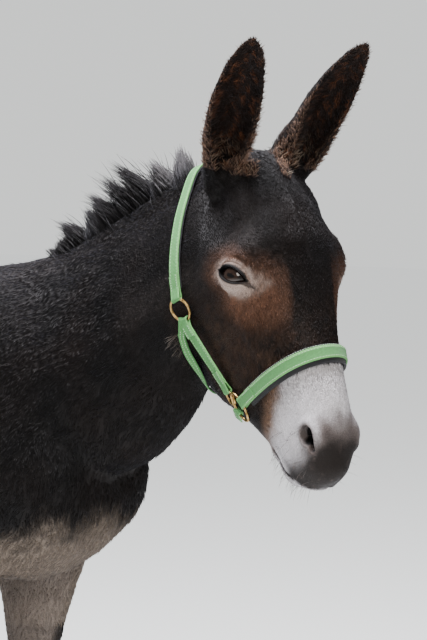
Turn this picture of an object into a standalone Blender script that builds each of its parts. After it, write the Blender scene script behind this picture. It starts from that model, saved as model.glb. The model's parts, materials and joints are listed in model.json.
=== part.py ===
"""A standing donkey in a webbing headcollar, life size, as a still model.

Metres, +Z up. The donkey faces -Y, so its right side is at -X. Every length is a real one and
the outer faces are where the tips of the coat end. The body's forms are lofted from named
stations, fused into one skin, and parted into head, neck, trunk and legs by cuts GAP wide. The
headcollar's straps follow the hull of the head where each one runs.
"""

import math

import bmesh
import bpy
import numpy as np
from mathutils import Matrix, Vector
from mathutils.bvhtree import BVHTree

# ------------------------------------------------------------------ driving sizes
GAP = 0.0004  # left between two solids that meet
VOXEL = 0.0035  # grain of the joined body before it is thinned
FRONT_FACETS = 1790  # triangles of head and upper neck
REST_FACETS = 2000  # triangles of lower neck, trunk and legs
EAR_FACETS = 280
TAIL_FACETS = 180

POLL = Vector((-0.012, -0.630, 1.296))  # between the ears, where the head's own axes start
HEAD_YAW = math.radians(14.5)  # the head turns this far to the donkey's right
HEAD_PITCH = math.radians(64.0)  # its face slopes this far below level
HEAD_TILT = math.radians(-1.5)  # and its left side hangs this far
EYE_ALONG, EYE_SIDE, EYE_DEPTH = 0.190, 0.087, 0.046  # eyeball centre on the head's axes
EYE_RADIUS = 0.0205
EAR_LENGTH = 0.247
HOOF_HEIGHT = 0.062
STRAP_THICK = 0.0030
STRAP_CLEAR = 0.0020  # between the coat's facets and a strap


# ------------------------------------------------------------------ the scene and its groups
def clear_scene():
    for item in list(bpy.data.objects):
        bpy.data.objects.remove(item, do_unlink=True)


def new_group(name, hidden=False):
    group = bpy.data.collections.new(name)
    bpy.context.scene.collection.children.link(group)
    group.hide_render = hidden
    return group


def material(name, colour, roughness, metallic=0.0):
    made = bpy.data.materials.new(name)
    made.use_nodes = True
    shader = made.node_tree.nodes["Principled BSDF"]
    shader.inputs["Base Color"].default_value = (*colour, 1.0)
    shader.inputs["Roughness"].default_value = roughness
    shader.inputs["Metallic"].default_value = metallic
    made.diffuse_color = (*colour, 1.0)
    return made


def add_mesh(name, mesh, group, surface=None):
    made = bpy.data.objects.new(name, mesh)
    group.objects.link(made)
    if surface:
        mesh.materials.clear()
        mesh.materials.append(surface)
    return made


def remove(item):
    mesh = item.data
    bpy.data.objects.remove(item, do_unlink=True)
    bpy.data.meshes.remove(mesh)


def evaluated_copy(item, name, group):
    """A plain mesh object of what the modifiers of item give."""
    bpy.context.view_layer.update()
    graph = bpy.context.evaluated_depsgraph_get()
    mesh = bpy.data.meshes.new_from_object(item.evaluated_get(graph))
    mesh.name = name
    mesh.transform(item.matrix_world)
    return add_mesh(name, mesh, group)


# ------------------------------------------------------------------ axes of the turned head
FACE_FORWARD = Vector((-math.sin(HEAD_YAW), -math.cos(HEAD_YAW), 0.0))
FACE_LEFT = Vector((math.cos(HEAD_YAW), -math.sin(HEAD_YAW), 0.0))
HEAD_ALONG = FACE_FORWARD * math.cos(HEAD_PITCH) - Vector((0, 0, math.sin(HEAD_PITCH)))
UNTILTED_OUT = FACE_FORWARD * math.sin(HEAD_PITCH) + Vector((0, 0, math.cos(HEAD_PITCH)))
HEAD_LEFT = FACE_LEFT * math.cos(HEAD_TILT) + UNTILTED_OUT * math.sin(HEAD_TILT)
HEAD_OUT = UNTILTED_OUT * math.cos(HEAD_TILT) - FACE_LEFT * math.sin(HEAD_TILT)


def on_head(along, side, out):
    """A point given along the face from the poll, to the head's left, and out of the face."""
    return POLL + HEAD_ALONG * along + HEAD_LEFT * side + HEAD_OUT * out


# ------------------------------------------------------------------ lofts and rounded forms
def curve_through(places, values, wanted):
    """Values at the wanted places on a smooth curve that keeps each column monotone between stations."""
    places, values = np.asarray(places, float), np.asarray(values, float)
    step = np.diff(places)
    slope = np.diff(values, axis=0) / step[:, None]
    tangent = np.zeros_like(values)
    before, after = slope[:-1], slope[1:]
    w_before = (2 * step[1:] + step[:-1])[:, None]
    w_after = (step[1:] + 2 * step[:-1])[:, None]
    same = before * after > 0
    safe_before, safe_after = np.where(same, before, 1), np.where(same, after, 1)
    mean = (w_before + w_after) / (w_before / safe_before + w_after / safe_after)
    tangent[1:-1] = np.where(same, mean, 0)
    tangent[0], tangent[-1] = slope[0], slope[-1]
    index = np.clip(np.searchsorted(places, wanted, side="right") - 1, 0, len(step) - 1)
    t = ((wanted - places[index]) / step[index])[:, None]
    h = step[index][:, None]
    return (
        (1 + 2 * t) * (1 - t) ** 2 * values[index]
        + t * (1 - t) ** 2 * h * tangent[index]
        + t * t * (3 - 2 * t) * values[index + 1]
        + t * t * (t - 1) * h * tangent[index + 1]
    )


def loft(name, rings, group):
    """A closed skin through rings of equal point counts, with a fan over each end."""
    shape = bmesh.new()
    rows = [[shape.verts.new(point) for point in ring] for ring in rings]
    count = len(rows[0])
    for row, following in zip(rows, rows[1:]):
        for i in range(count):
            j = (i + 1) % count
            shape.faces.new((row[i], row[j], following[j], following[i]))
    for row, turn in ((rows[0], -1), (rows[-1], 1)):
        middle = shape.verts.new(sum((v.co for v in row), Vector()) / count)
        for i in range(count):
            j = (i + 1) % count
            shape.faces.new((row[i], row[j], middle)[::turn])
    bmesh.ops.recalc_face_normals(shape, faces=shape.faces)
    mesh = bpy.data.meshes.new(name)
    shape.to_mesh(mesh)
    shape.free()
    return add_mesh(name, mesh, group)


def egg_ring(top, bottom, half_width, widest, power_top, power_bottom, points=36):
    """(side, height) pairs of a closed outline: two half superellipses that meet at the widest level."""
    outline = []
    for i in range(points):
        angle = 2 * math.pi * i / points
        across, up = math.sin(angle), math.cos(angle)
        power = power_top if up > 0 else power_bottom
        reach = top - widest if up > 0 else widest - bottom
        side = half_width * math.copysign(abs(across) ** (2 / power), across)
        outline.append((side, widest + reach * math.copysign(abs(up) ** (2 / power), up)))
    return outline


def station_loft(name, stations, place, group, step=0.02):
    """A loft of egg rings: each station is (place, top, bottom, half width, widest level, powers)."""
    table = np.array(stations, float)
    places = table[:, 0]
    wanted = np.linspace(places[0], places[-1], max(8, int((places[-1] - places[0]) / step)))
    rows = curve_through(places, table[:, 1:], wanted)
    rings = [[place(at, side, up) for side, up in egg_ring(*row)] for at, row in zip(wanted, rows)]
    return loft(name, rings, group)


def ellipsoid(name, centre, radii, axes, group, segments=24):
    """A rounded muscle or bone form: radii along the three given axes."""
    bpy.ops.mesh.primitive_uv_sphere_add(segments=segments, ring_count=segments * 2 // 3, radius=1.0)
    made = bpy.context.object
    made.name = name
    turn = Matrix(axes).transposed()
    made.data.transform(Matrix.Translation(centre) @ turn.to_4x4() @ Matrix.Diagonal((*radii, 1)))
    if turn.determinant() < 0:
        made.data.flip_normals()
    for old in list(made.users_collection):
        old.objects.unlink(made)
    group.objects.link(made)
    return made


def limb(name, points, radii, group, sides=24):
    """A round tapering form along a line of points, with rounded ends."""
    points = [Vector(p) for p in points]
    length = [0.0]
    for a, b in zip(points, points[1:]):
        length.append(length[-1] + (b - a).length)
    wanted = np.linspace(0, length[-1], max(6, int(length[-1] / 0.012)))
    line = curve_through(length, np.array([list(p) + [r] for p, r in zip(points, radii)]), wanted)
    rings = []
    for k, row in enumerate(line):
        ahead, behind = line[min(k + 1, len(line) - 1)][:3], line[max(k - 1, 0)][:3]
        along = Vector(ahead - behind).normalized()
        side = along.cross(Vector((0.31, 0.17, 0.93))).normalized()
        up = along.cross(side)
        rings.append([(row[:3], along, side, up, row[3])])
    full = []
    caps = [(-0.85, 0.5), (-0.5, 0.85)]
    first, last = rings[0][0], rings[-1][0]
    for back, wide in caps:
        full.append((Vector(first[0]) + first[1] * back * first[4], first[2], first[3], first[4] * wide))
    for ring in rings:
        centre, _, side, up, radius = ring[0]
        full.append((Vector(centre), side, up, radius))
    for back, wide in reversed(caps):
        full.append((Vector(last[0]) - last[1] * back * last[4], last[2], last[3], last[4] * wide))
    loops = []
    for centre, side, up, radius in full:
        turns = [2 * math.pi * i / sides for i in range(sides)]
        loops.append([centre + side * radius * math.cos(a) + up * radius * math.sin(a) for a in turns])
    return loft(name, loops, group)


# ------------------------------------------------------------------ trunk
# y, top, bottom, half width, widest level, upper and lower squareness
TRUNK_STATIONS = (
    (-0.304, 0.850, 0.703, 0.060, 0.775, 2.0, 2.0),
    (-0.284, 0.900, 0.655, 0.107, 0.775, 2.0, 2.0),
    (-0.220, 0.980, 0.592, 0.148, 0.775, 2.0, 2.1),
    (-0.120, 1.060, 0.549, 0.170, 0.780, 1.9, 2.1),
    (0.000, 1.098, 0.540, 0.182, 0.790, 1.9, 2.1),
    (0.120, 1.098, 0.539, 0.208, 0.790, 2.0, 2.1),
    (0.280, 1.080, 0.536, 0.240, 0.775, 2.1, 2.1),
    (0.420, 1.082, 0.545, 0.243, 0.775, 2.1, 2.1),
    (0.540, 1.100, 0.590, 0.224, 0.810, 2.1, 2.1),
    (0.650, 1.108, 0.665, 0.200, 0.870, 2.1, 2.1),
    (0.740, 1.072, 0.730, 0.168, 0.880, 2.1, 2.1),
    (0.805, 1.018, 0.790, 0.120, 0.890, 2.1, 2.1),
    (0.845, 0.960, 0.845, 0.060, 0.900, 2.0, 2.0),
)


# name, centre on the left side, radii, lean
TRUNK_MUSCLES = (
    ("shoulder_blade", (0.094, -0.105, 0.870), (0.062, 0.090, 0.150), 0.42),
    ("upper_arm", (0.112, -0.055, 0.700), (0.062, 0.115, 0.130), -0.5),
    ("breast", (0.062, -0.228, 0.732), (0.072, 0.074, 0.112), -0.25),
    ("haunch", (0.112, 0.665, 0.885), (0.090, 0.165, 0.190), -0.1),
    ("hip_point", (0.108, 0.550, 0.980), (0.062, 0.080, 0.055), 0.0),
    ("buttock", (0.080, 0.775, 0.860), (0.078, 0.085, 0.150), 0.1),
)


def axes_leaning(lean):
    """Axes whose third leans towards +Y by the angle lean."""
    c, s = math.cos(lean), math.sin(lean)
    return ((1, 0, 0), (0, c, -s), (0, s, c))


def trunk_forms(group):
    station_loft("trunk_barrel", TRUNK_STATIONS, lambda y, side, up: Vector((side, y, up)), group)
    for side in (-1, 1):
        for name, centre, radii, lean in TRUNK_MUSCLES:
            x, y, z = centre
            ellipsoid(name, Vector((side * x, y, z)), radii, axes_leaning(lean), group)


# ------------------------------------------------------------------ neck
# crest y, crest z, under y, under z, half width, widest share from under, squareness, sideways shift
NECK_STATIONS = (
    (0.070, 1.085, -0.205, 0.640, 0.150, 0.45, 1.9, 2.1, 0.000),
    (-0.060, 1.097, -0.285, 0.735, 0.138, 0.45, 1.7, 2.2, 0.000),
    (-0.180, 1.122, -0.370, 0.778, 0.115, 0.43, 1.55, 2.2, 0.000),
    (-0.290, 1.170, -0.431, 0.829, 0.097, 0.42, 1.5, 2.2, -0.001),
    (-0.400, 1.224, -0.471, 0.883, 0.085, 0.42, 1.5, 2.2, -0.003),
    (-0.500, 1.270, -0.495, 0.942, 0.078, 0.45, 1.6, 2.2, -0.006),
    (-0.590, 1.292, -0.530, 1.010, 0.068, 0.50, 1.8, 2.2, -0.010),
)
CREST_RADIUS = 0.027


def neck_forms(group):
    table = np.array(NECK_STATIONS)
    rows = curve_through(np.arange(len(table)), table, np.linspace(0, len(table) - 1, 34))
    rings, crest = [], []
    for crest_y, crest_z, under_y, under_z, half, share, p_top, p_low, shift in rows:
        top, under = Vector((shift, crest_y, crest_z)), Vector((shift, under_y, under_z))
        rise = top - under
        depth = rise.length
        outline = egg_ring(depth, 0.0, half, depth * share, p_top, p_low)
        rings.append([under + rise * (up / depth) + Vector((side, 0, 0)) for side, up in outline])
        crest.append(top - rise.normalized() * (CREST_RADIUS * 0.9))
    loft("neck_column", rings, group)
    limb("neck_crest", crest[2:], [CREST_RADIUS] * len(crest[2:]), group)


# ------------------------------------------------------------------ head
# along the face from the poll: top, bottom, half width, widest level, squareness
HEAD_STATIONS = (
    (-0.025, -0.040, -0.130, 0.040, -0.080, 2.0, 2.0),
    (0.000, -0.010, -0.190, 0.058, -0.085, 2.2, 2.0),
    (0.050, 0.010, -0.240, 0.074, -0.085, 2.3, 2.0),
    (0.100, 0.022, -0.270, 0.087, -0.075, 2.4, 2.0),
    (0.150, 0.026, -0.282, 0.097, -0.058, 2.5, 1.95),
    (0.190, 0.022, -0.288, 0.096, -0.052, 2.5, 1.95),
    (0.240, 0.012, -0.293, 0.082, -0.055, 2.4, 2.0),
    (0.280, 0.004, -0.290, 0.068, -0.060, 2.3, 2.1),
    (0.320, -0.001, -0.270, 0.059, -0.066, 2.3, 2.2),
    (0.360, -0.004, -0.234, 0.053, -0.070, 2.3, 2.2),
    (0.410, -0.009, -0.195, 0.048, -0.077, 2.4, 2.3),
    (0.455, -0.019, -0.164, 0.047, -0.084, 2.4, 2.4),
    (0.490, -0.035, -0.150, 0.047, -0.090, 2.4, 2.4),
    (0.515, -0.058, -0.139, 0.039, -0.096, 2.4, 2.3),
    (0.532, -0.082, -0.118, 0.022, -0.098, 2.0, 2.0),
)
HEAD_AXES = (tuple(HEAD_LEFT), tuple(HEAD_ALONG), tuple(HEAD_OUT))


def head_form(name, along, side, out, radii, group):
    """An ellipsoid on the head's axes: radii across, along the face, and out of it."""
    ellipsoid(name, on_head(along, side, out), radii, HEAD_AXES, group)


# name, along the face, to the side, out of the face, radii across, along and out
PAIRED_HEAD_FORMS = (
    ("orbit", 0.188, 0.078, -0.044, (0.032, 0.046, 0.038)),
    ("eyelids", 0.190, 0.087, -0.046, (0.0265, 0.0275, 0.0265)),
    ("brow", 0.174, 0.076, -0.016, (0.030, 0.046, 0.020)),
    ("temple", 0.100, 0.054, -0.030, (0.034, 0.072, 0.034)),
    ("jaw_muscle", 0.145, 0.052, -0.168, (0.034, 0.105, 0.100)),
    ("nostril_wing", 0.458, 0.033, -0.054, (0.018, 0.037, 0.029)),
    ("ear_root", 0.034, 0.056, -0.044, (0.030, 0.042, 0.036)),
)
SINGLE_HEAD_FORMS = (
    ("nose_bridge", 0.350, 0.0, -0.028, (0.036, 0.110, 0.027)),
    ("upper_lip", 0.498, 0.0, -0.084, (0.041, 0.035, 0.040)),
    ("lower_lip", 0.484, 0.0, -0.142, (0.037, 0.036, 0.019)),
    ("chin", 0.446, 0.0, -0.158, (0.032, 0.034, 0.018)),
    ("throat", 0.060, 0.0, -0.160, (0.060, 0.080, 0.095)),
)
FACE_CREST = ((0.205, 0.080, -0.082), (0.270, 0.067, -0.090), (0.345, 0.047, -0.094))


def head_forms(group):
    station_loft("head_core", HEAD_STATIONS, lambda at, side, out: on_head(at, side, out), group, 0.012)
    for side in (-1, 1):
        for name, along, across, out, radii in PAIRED_HEAD_FORMS:
            head_form(name, along, side * across, out, radii, group)
        crest = [on_head(along, side * across, out) for along, across, out in FACE_CREST]
        limb("face_crest", crest, (0.016, 0.012, 0.009), group)
    for name, along, across, out, radii in SINGLE_HEAD_FORMS:
        head_form(name, along, across, out, radii, group)


# ------------------------------------------------------------------ ears
# share of the length, half width, cup depth, degrees that the cup wraps to each side, wall
EAR_STATIONS = (
    (-0.06, 0.025, 0.027, 172, 0.012),
    (0.00, 0.029, 0.031, 168, 0.011),
    (0.10, 0.034, 0.033, 150, 0.010),
    (0.20, 0.038, 0.033, 128, 0.0095),
    (0.34, 0.041, 0.031, 108, 0.009),
    (0.50, 0.042, 0.028, 98, 0.0085),
    (0.68, 0.037, 0.023, 92, 0.008),
    (0.84, 0.028, 0.017, 88, 0.008),
    (0.94, 0.018, 0.012, 82, 0.0075),
    (1.00, 0.008, 0.007, 72, 0.007),
)
# along the face, to the side, out of the face; lean forward, outward, up; opening turned outward
EAR_SEATS = {
    -1: ((0.020, 0.074, -0.046), (0.54, 0.145, 0.84), 0.40),
    1: ((0.018, 0.070, -0.036), (0.58, 0.13, 0.80), -0.08),
}

# how far up the left ear, and inwards from it, its rolled root flares towards the poll
EAR_FLARE = ((-0.020, 0.030), (0.020, 0.031), (0.058, 0.030), (0.095, 0.030), (0.125, 0.032))


def ear_axes(side):
    """Base point, then the ear's own axes: up the ear, out of its opening, and across it."""
    (along, across, out), (forward, outward, rise), turned = EAR_SEATS[side]
    up = (FACE_FORWARD * forward + FACE_LEFT * side * outward + Vector((0, 0, rise))).normalized()
    opening = FACE_FORWARD * math.cos(turned) + FACE_LEFT * side * math.sin(turned)
    opening = (opening - up * opening.dot(up)).normalized()
    return on_head(along, side * across, out), up, opening, up.cross(opening)


def ear_forms(side, group):
    base, up, opening, across = ear_axes(side)
    table = np.array(EAR_STATIONS)
    shares = np.linspace(table[0, 0], 1, 30)
    rows = curve_through(table[:, 0], table[:, 1:], shares)
    rings = []
    for share, (half, deep, wrap, wall) in zip(shares, rows):
        turns = [math.radians(wrap) * (i / 9 - 1) for i in range(19)]
        bend = 0.030 * (share - 0.45) ** 2 - 0.006
        centre = base + up * (share * EAR_LENGTH) + opening * bend
        outer = [centre + across * half * math.sin(a) - opening * deep * math.cos(a) for a in turns]
        thin = [(half - wall) * math.sin(a) for a in turns]
        hollow = [max(deep - wall, 0.001) * math.cos(a) for a in turns]
        inner = [centre + across * s - opening * h for s, h in zip(thin, hollow)]
        rings.append(outer + inner[::-1])
    loft("ear_shell", rings, group)
    limb("ear_stem", [base - up * 0.026, base - up * 0.004], (0.022, 0.026), group)
    if side == 1:
        flare = [base + up * rise - across * spread - opening * 0.012 for rise, spread in EAR_FLARE]
        limb("ear_flare", flare, (0.023, 0.020, 0.015, 0.008, 0.003), group)


# ------------------------------------------------------------------ legs
# level, front y, back y, half width, middle x, squareness
FORELEG = (
    (0.700, -0.155, 0.105, 0.060, 0.108, 2.1),
    (0.640, -0.148, 0.102, 0.061, 0.110, 2.1),
    (0.580, -0.129, 0.085, 0.060, 0.111, 2.1),
    (0.520, -0.104, 0.068, 0.054, 0.111, 2.1),
    (0.460, -0.078, 0.054, 0.047, 0.110, 2.1),
    (0.410, -0.062, 0.045, 0.043, 0.109, 2.2),
    (0.375, -0.059, 0.042, 0.044, 0.108, 2.4),
    (0.345, -0.059, 0.043, 0.043, 0.108, 2.4),
    (0.310, -0.050, 0.041, 0.037, 0.108, 2.3),
    (0.280, -0.040, 0.034, 0.030, 0.108, 2.1),
    (0.220, -0.034, 0.032, 0.026, 0.108, 2.1),
    (0.170, -0.036, 0.037, 0.029, 0.108, 2.1),
    (0.142, -0.042, 0.044, 0.034, 0.108, 2.1),
    (0.112, -0.046, 0.035, 0.032, 0.108, 2.1),
    (0.085, -0.057, 0.024, 0.032, 0.108, 2.1),
    (0.035, -0.077, 0.015, 0.037, 0.108, 2.1),
    (0.010, -0.084, 0.012, 0.038, 0.108, 2.1),
)
HINDLEG = (
    (0.880, 0.520, 0.850, 0.082, 0.112, 2.1),
    (0.780, 0.500, 0.858, 0.084, 0.112, 2.1),
    (0.700, 0.508, 0.838, 0.076, 0.116, 2.1),
    (0.640, 0.540, 0.812, 0.063, 0.120, 2.1),
    (0.580, 0.592, 0.800, 0.051, 0.120, 2.1),
    (0.520, 0.650, 0.808, 0.041, 0.118, 2.1),
    (0.470, 0.700, 0.838, 0.036, 0.116, 2.1),
    (0.435, 0.732, 0.866, 0.036, 0.114, 2.1),
    (0.400, 0.750, 0.860, 0.037, 0.113, 2.2),
    (0.360, 0.762, 0.840, 0.035, 0.112, 2.2),
    (0.320, 0.770, 0.833, 0.031, 0.112, 2.1),
    (0.250, 0.773, 0.830, 0.026, 0.112, 2.1),
    (0.180, 0.772, 0.835, 0.029, 0.112, 2.1),
    (0.145, 0.768, 0.840, 0.032, 0.112, 2.1),
    (0.112, 0.762, 0.830, 0.030, 0.112, 2.1),
    (0.085, 0.752, 0.820, 0.030, 0.112, 2.1),
    (0.035, 0.730, 0.812, 0.037, 0.112, 2.1),
    (0.010, 0.723, 0.809, 0.038, 0.112, 2.1),
)
# how far each foot stands ahead of or behind the plain square stance
STEP = {("fore", -1): 0.026, ("fore", 1): -0.008, ("hind", -1): -0.024, ("hind", 1): 0.030}
LEG_TABLES = {"fore": FORELEG, "hind": HINDLEG}
TOP_LEVEL = {"fore": 0.640, "hind": 0.760}


def stepped(leg, side, level):
    """The shift in y of a stepping leg at a level: none at its top, all of it at the knee and below."""
    top = TOP_LEVEL[leg]
    share = min(1.0, max(0.0, (top - level) / (top - HOOF_HEIGHT)))
    return STEP[leg, side] * share


def leg_forms(leg, side, group):
    table = np.array(LEG_TABLES[leg])[::-1]
    levels = np.linspace(table[0, 0], table[-1, 0], 60)
    rows = curve_through(table[:, 0], table[:, 1:], levels)
    rings = []
    for level, (front, back, half, middle, power) in zip(levels, rows):
        shift = stepped(leg, side, level)
        centre_y, reach = (front + back) / 2 + shift, (back - front) / 2
        ring = []
        for i in range(28):
            angle = 2 * math.pi * i / 28
            c, s = math.cos(angle), math.sin(angle)
            x = half * math.copysign(abs(s) ** (2 / power), s)
            y = reach * math.copysign(abs(c) ** (2 / power), c)
            ring.append(Vector((side * middle + x, centre_y + y, level)))
        rings.append(ring)
    loft(leg + "leg_column", rings, group)


# ------------------------------------------------------------------ tail
TAIL_LINE = (
    (0.0, 0.740, 1.030),
    (0.0, 0.845, 0.992),
    (0.0, 0.895, 0.900),
    (0.0, 0.906, 0.780),
    (0.0, 0.904, 0.660),
    (0.0, 0.902, 0.570),
)
TAIL_RADII = (0.034, 0.033, 0.029, 0.025, 0.022, 0.020)
SWITCH_LINE = (
    (0.0, 0.903, 0.680),
    (0.0, 0.902, 0.610),
    (0.0, 0.904, 0.545),
    (0.0, 0.908, 0.460),
    (0.0, 0.910, 0.370),
    (0.0, 0.910, 0.290),
)
SWITCH_RADII = (0.014, 0.026, 0.036, 0.041, 0.033, 0.010)
SWITCH_TOP = 0.610

# ------------------------------------------------------------------ hooves
COLLAR_TILT = 0.30  # the top of the hoof wall falls this much per length towards the heel


def coronet(leg, side):
    """A point on the top edge of a hoof wall and the upward normal of that edge's plane."""
    table = np.array(LEG_TABLES[leg])
    front, back, _, middle, _ = table[-1, 1:]
    middle_y = (front + back) / 2 + STEP[leg, side]
    return Vector((side * middle, middle_y, HOOF_HEIGHT - 0.010)), Vector((0, COLLAR_TILT, 1)).normalized()


def hoof_form(leg, side, group):
    """The hoof wall before its slanting top is cut: narrower and further back as it rises."""
    front, back, half, middle, _ = LEG_TABLES[leg][-1][1:]
    centre = Vector((side * middle, (front + back) / 2 + STEP[leg, side], 0))
    reach = (back - front) / 2
    rings = []
    for level, grow, slide in ((0.0, 0.0, -0.014), (0.004, 0.001, -0.013), (0.085, -0.006, 0.010)):
        ring = []
        for i in range(26):
            angle = 2 * math.pi * i / 26
            s, c = math.sin(angle), math.cos(angle)
            x = (half + grow) * math.copysign(abs(s) ** 0.86, s)
            y = (reach + grow) * math.copysign(abs(c) ** (0.95 if c < 0 else 0.75), c)
            ring.append(centre + Vector((x, y + slide, level)))
        rings.append(ring)
    return loft("hoof_form", rings, group)


# ------------------------------------------------------------------ joining, thinning and parting
def joined(name, group, target, voxel=VOXEL, passes=22):
    """One mesh of all the forms in group, with their overlapping skins fused and smoothed."""
    whole = bmesh.new()
    for item in list(group.objects):
        whole.from_mesh(item.data)
        remove(item)
    mesh = bpy.data.meshes.new(name)
    whole.to_mesh(mesh)
    whole.free()
    rough = add_mesh(name + "_forms", mesh, group)
    fuse = rough.modifiers.new("fuse", "REMESH")
    fuse.mode = "VOXEL"
    fuse.voxel_size = voxel
    soften = rough.modifiers.new("soften", "SMOOTH")
    soften.factor = 0.5
    soften.iterations = passes
    made = evaluated_copy(rough, name, target)
    remove(rough)
    return made


def cut_by_plane(item, point, normal, name, group):
    """A closed copy of item with what lies ahead of the plane cut away."""
    shape = bmesh.new()
    shape.from_mesh(item.data)
    everything = list(shape.verts) + list(shape.edges) + list(shape.faces)
    bmesh.ops.bisect_plane(
        shape, geom=everything, dist=1e-7, plane_co=point, plane_no=normal, clear_outer=True
    )
    rim = [edge for edge in shape.edges if edge.is_boundary]
    bmesh.ops.holes_fill(shape, edges=rim, sides=0)
    bmesh.ops.triangulate(shape, faces=shape.faces)
    mesh = bpy.data.meshes.new(name)
    shape.to_mesh(mesh)
    shape.free()
    return add_mesh(name, mesh, group)


def thinned(item, facets, name, group):
    """A lighter copy of item that keeps its shape."""
    thin = item.modifiers.new("thin", "DECIMATE")
    thin.ratio = facets / sum(len(face.vertices) - 2 for face in item.data.polygons)
    made = evaluated_copy(item, name, group)
    remove(item)
    return made


def as_cutter(item):
    item.hide_render = True
    item.display_type = "WIRE"
    return item


def from_operator(name, group):
    """The object that a primitive operator just made, moved to its group."""
    made = bpy.context.object
    made.name = name
    for old in list(made.users_collection):
        old.objects.unlink(made)
    group.objects.link(made)
    return made


def block(name, low, high, group):
    """A cutter box between two corners."""
    bpy.ops.mesh.primitive_cube_add(size=1.0)
    made = from_operator(name, group)
    low, high = Vector(low), Vector(high)
    made.data.transform(Matrix.Translation((low + high) / 2) @ Matrix.Diagonal((*(high - low), 1)))
    return as_cutter(made)


def slab(name, point, normal, group, reach=1.2, depth=1.6):
    """A cutter whose near face lies on a plane and which runs deep along the plane's normal."""
    made = block(name, (-reach, -reach, 0), (reach, reach, depth), group)
    turn = Vector((0, 0, 1)).rotation_difference(Vector(normal).normalized()).to_matrix().to_4x4()
    made.data.transform(Matrix.Translation(Vector(point)) @ turn)
    return made


def grown(item, name, group, distance=GAP + 0.0002):
    """A cutter copy of item whose skin stands off by a little, so that what it cuts keeps clear."""
    swollen = add_mesh(name + "_base", item.data.copy(), group)
    push = swollen.modifiers.new("stand_off", "DISPLACE")
    push.strength = distance
    push.mid_level = 0.0
    made = evaluated_copy(swollen, name, group)
    remove(swollen)
    return as_cutter(made)


def largest_part(mesh):
    """Drops the crumbs that a cut can leave beside the main body of a mesh."""
    shape = bmesh.new()
    shape.from_mesh(mesh)
    bmesh.ops.remove_doubles(shape, verts=shape.verts, dist=1e-6)
    left, islands = set(shape.verts), []
    while left:
        front = [left.pop()]
        island = set(front)
        while front:
            for edge in front.pop().link_edges:
                for vert in edge.verts:
                    if vert in left:
                        left.remove(vert)
                        island.add(vert)
                        front.append(vert)
        islands.append(island)
    largest = max(islands, key=len)
    bmesh.ops.delete(shape, geom=[v for v in shape.verts if v not in largest], context="VERTS")
    bmesh.ops.triangulate(shape, faces=shape.faces)
    shape.to_mesh(mesh)
    shape.free()


def finish(made, surface, angle=50):
    made.data.materials.clear()
    made.data.materials.append(surface)
    for face in made.data.polygons:
        face.use_smooth = True
        face.material_index = 0
    made.data.set_sharp_from_angle(angle=math.radians(angle))
    return made


def carved(source, name, cutters, group, surface):
    """A new node: source less each cutter in turn, or, for one given as a pair, the part inside it."""
    working = add_mesh(name + "_working", source.data.copy(), group)
    for number, cutter in enumerate(cutters):
        change = working.modifiers.new(f"cut_{number}", "BOOLEAN")
        change.solver = "EXACT"
        change.operation = "INTERSECT" if isinstance(cutter, tuple) else "DIFFERENCE"
        change.object = cutter[0] if isinstance(cutter, tuple) else cutter
    made = evaluated_copy(working, name, group)
    remove(working)
    largest_part(made.data)
    return finish(made, surface)


# ------------------------------------------------------------------ the eye and its opening
def eye_axes(side):
    """Eyeball centre, then the way it looks, the line between the lids' corners, and across that."""
    gaze = (HEAD_LEFT * side * 0.88 + HEAD_OUT * 0.36 + HEAD_ALONG * 0.06).normalized()
    corner = (HEAD_ALONG + HEAD_OUT * 0.9).normalized()
    corner = (corner - gaze * corner.dot(gaze)).normalized()
    return on_head(EYE_ALONG, side * EYE_SIDE, -EYE_DEPTH), gaze, corner, gaze.cross(corner)


def ball(name, radius, side, group):
    """A sphere at the eye, turned so that its pole looks out."""
    bpy.ops.mesh.primitive_uv_sphere_add(segments=14, ring_count=8, radius=radius)
    made = from_operator(name, group)
    centre, gaze, corner, across = eye_axes(side)
    turn = Matrix((corner, gaze.cross(corner), gaze)).transposed().to_4x4()
    made.data.transform(Matrix.Translation(centre) @ turn)
    return made


def lid_opening(side, group):
    """The almond cut between the lids."""
    bpy.ops.mesh.primitive_uv_sphere_add(segments=14, ring_count=7, radius=1.0)
    made = from_operator("lid_opening", group)
    centre, gaze, corner, across = eye_axes(side)
    turn = Matrix((corner, across, gaze)).transposed()
    if turn.determinant() < 0:
        turn = Matrix((corner, -across, gaze)).transposed()
    size = Matrix.Diagonal((0.0215, 0.0108, 0.030, 1))
    made.data.transform(Matrix.Translation(centre + gaze * 0.022) @ turn.to_4x4() @ size)
    return as_cutter(made)


# ------------------------------------------------------------------ straps that follow a body
def hull_reach(mesh, centre, normal, first, second, angles):
    """How far the hull of a mesh's section reaches from centre, in each direction in the plane."""
    shape = bmesh.new()
    shape.from_mesh(mesh)
    everything = list(shape.verts) + list(shape.edges) + list(shape.faces)
    cut = bmesh.ops.bisect_plane(shape, geom=everything, dist=1e-7, plane_co=centre, plane_no=normal)
    found = [v.co - centre for v in cut["geom_cut"] if isinstance(v, bmesh.types.BMVert)]
    flat = [(p.dot(first), p.dot(second)) for p in found]
    shape.free()
    flat = sorted(flat)
    hull = []
    for points in (flat, flat[::-1]):
        chain = []
        for p in points:
            while len(chain) > 1:
                (ax, ay), (bx, by) = chain[-2], chain[-1]
                if (bx - ax) * (p[1] - ay) - (by - ay) * (p[0] - ax) > 0:
                    break
                chain.pop()
            chain.append(p)
        hull += chain[:-1]
    reach = []
    for angle in angles:
        c, s = math.cos(angle), math.sin(angle)
        best = 0.0
        for (ax, ay), (bx, by) in zip(hull, hull[1:] + hull[:1]):
            across = c * (by - ay) - s * (bx - ax)
            if abs(across) < 1e-12:
                continue
            distance = (ax * (by - ay) - ay * (bx - ax)) / across
            share = (ax * s - ay * c) / across
            if distance > 0 and -1e-9 <= share <= 1 + 1e-9:
                best = max(best, distance)
        reach.append(best)
    return reach


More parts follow.
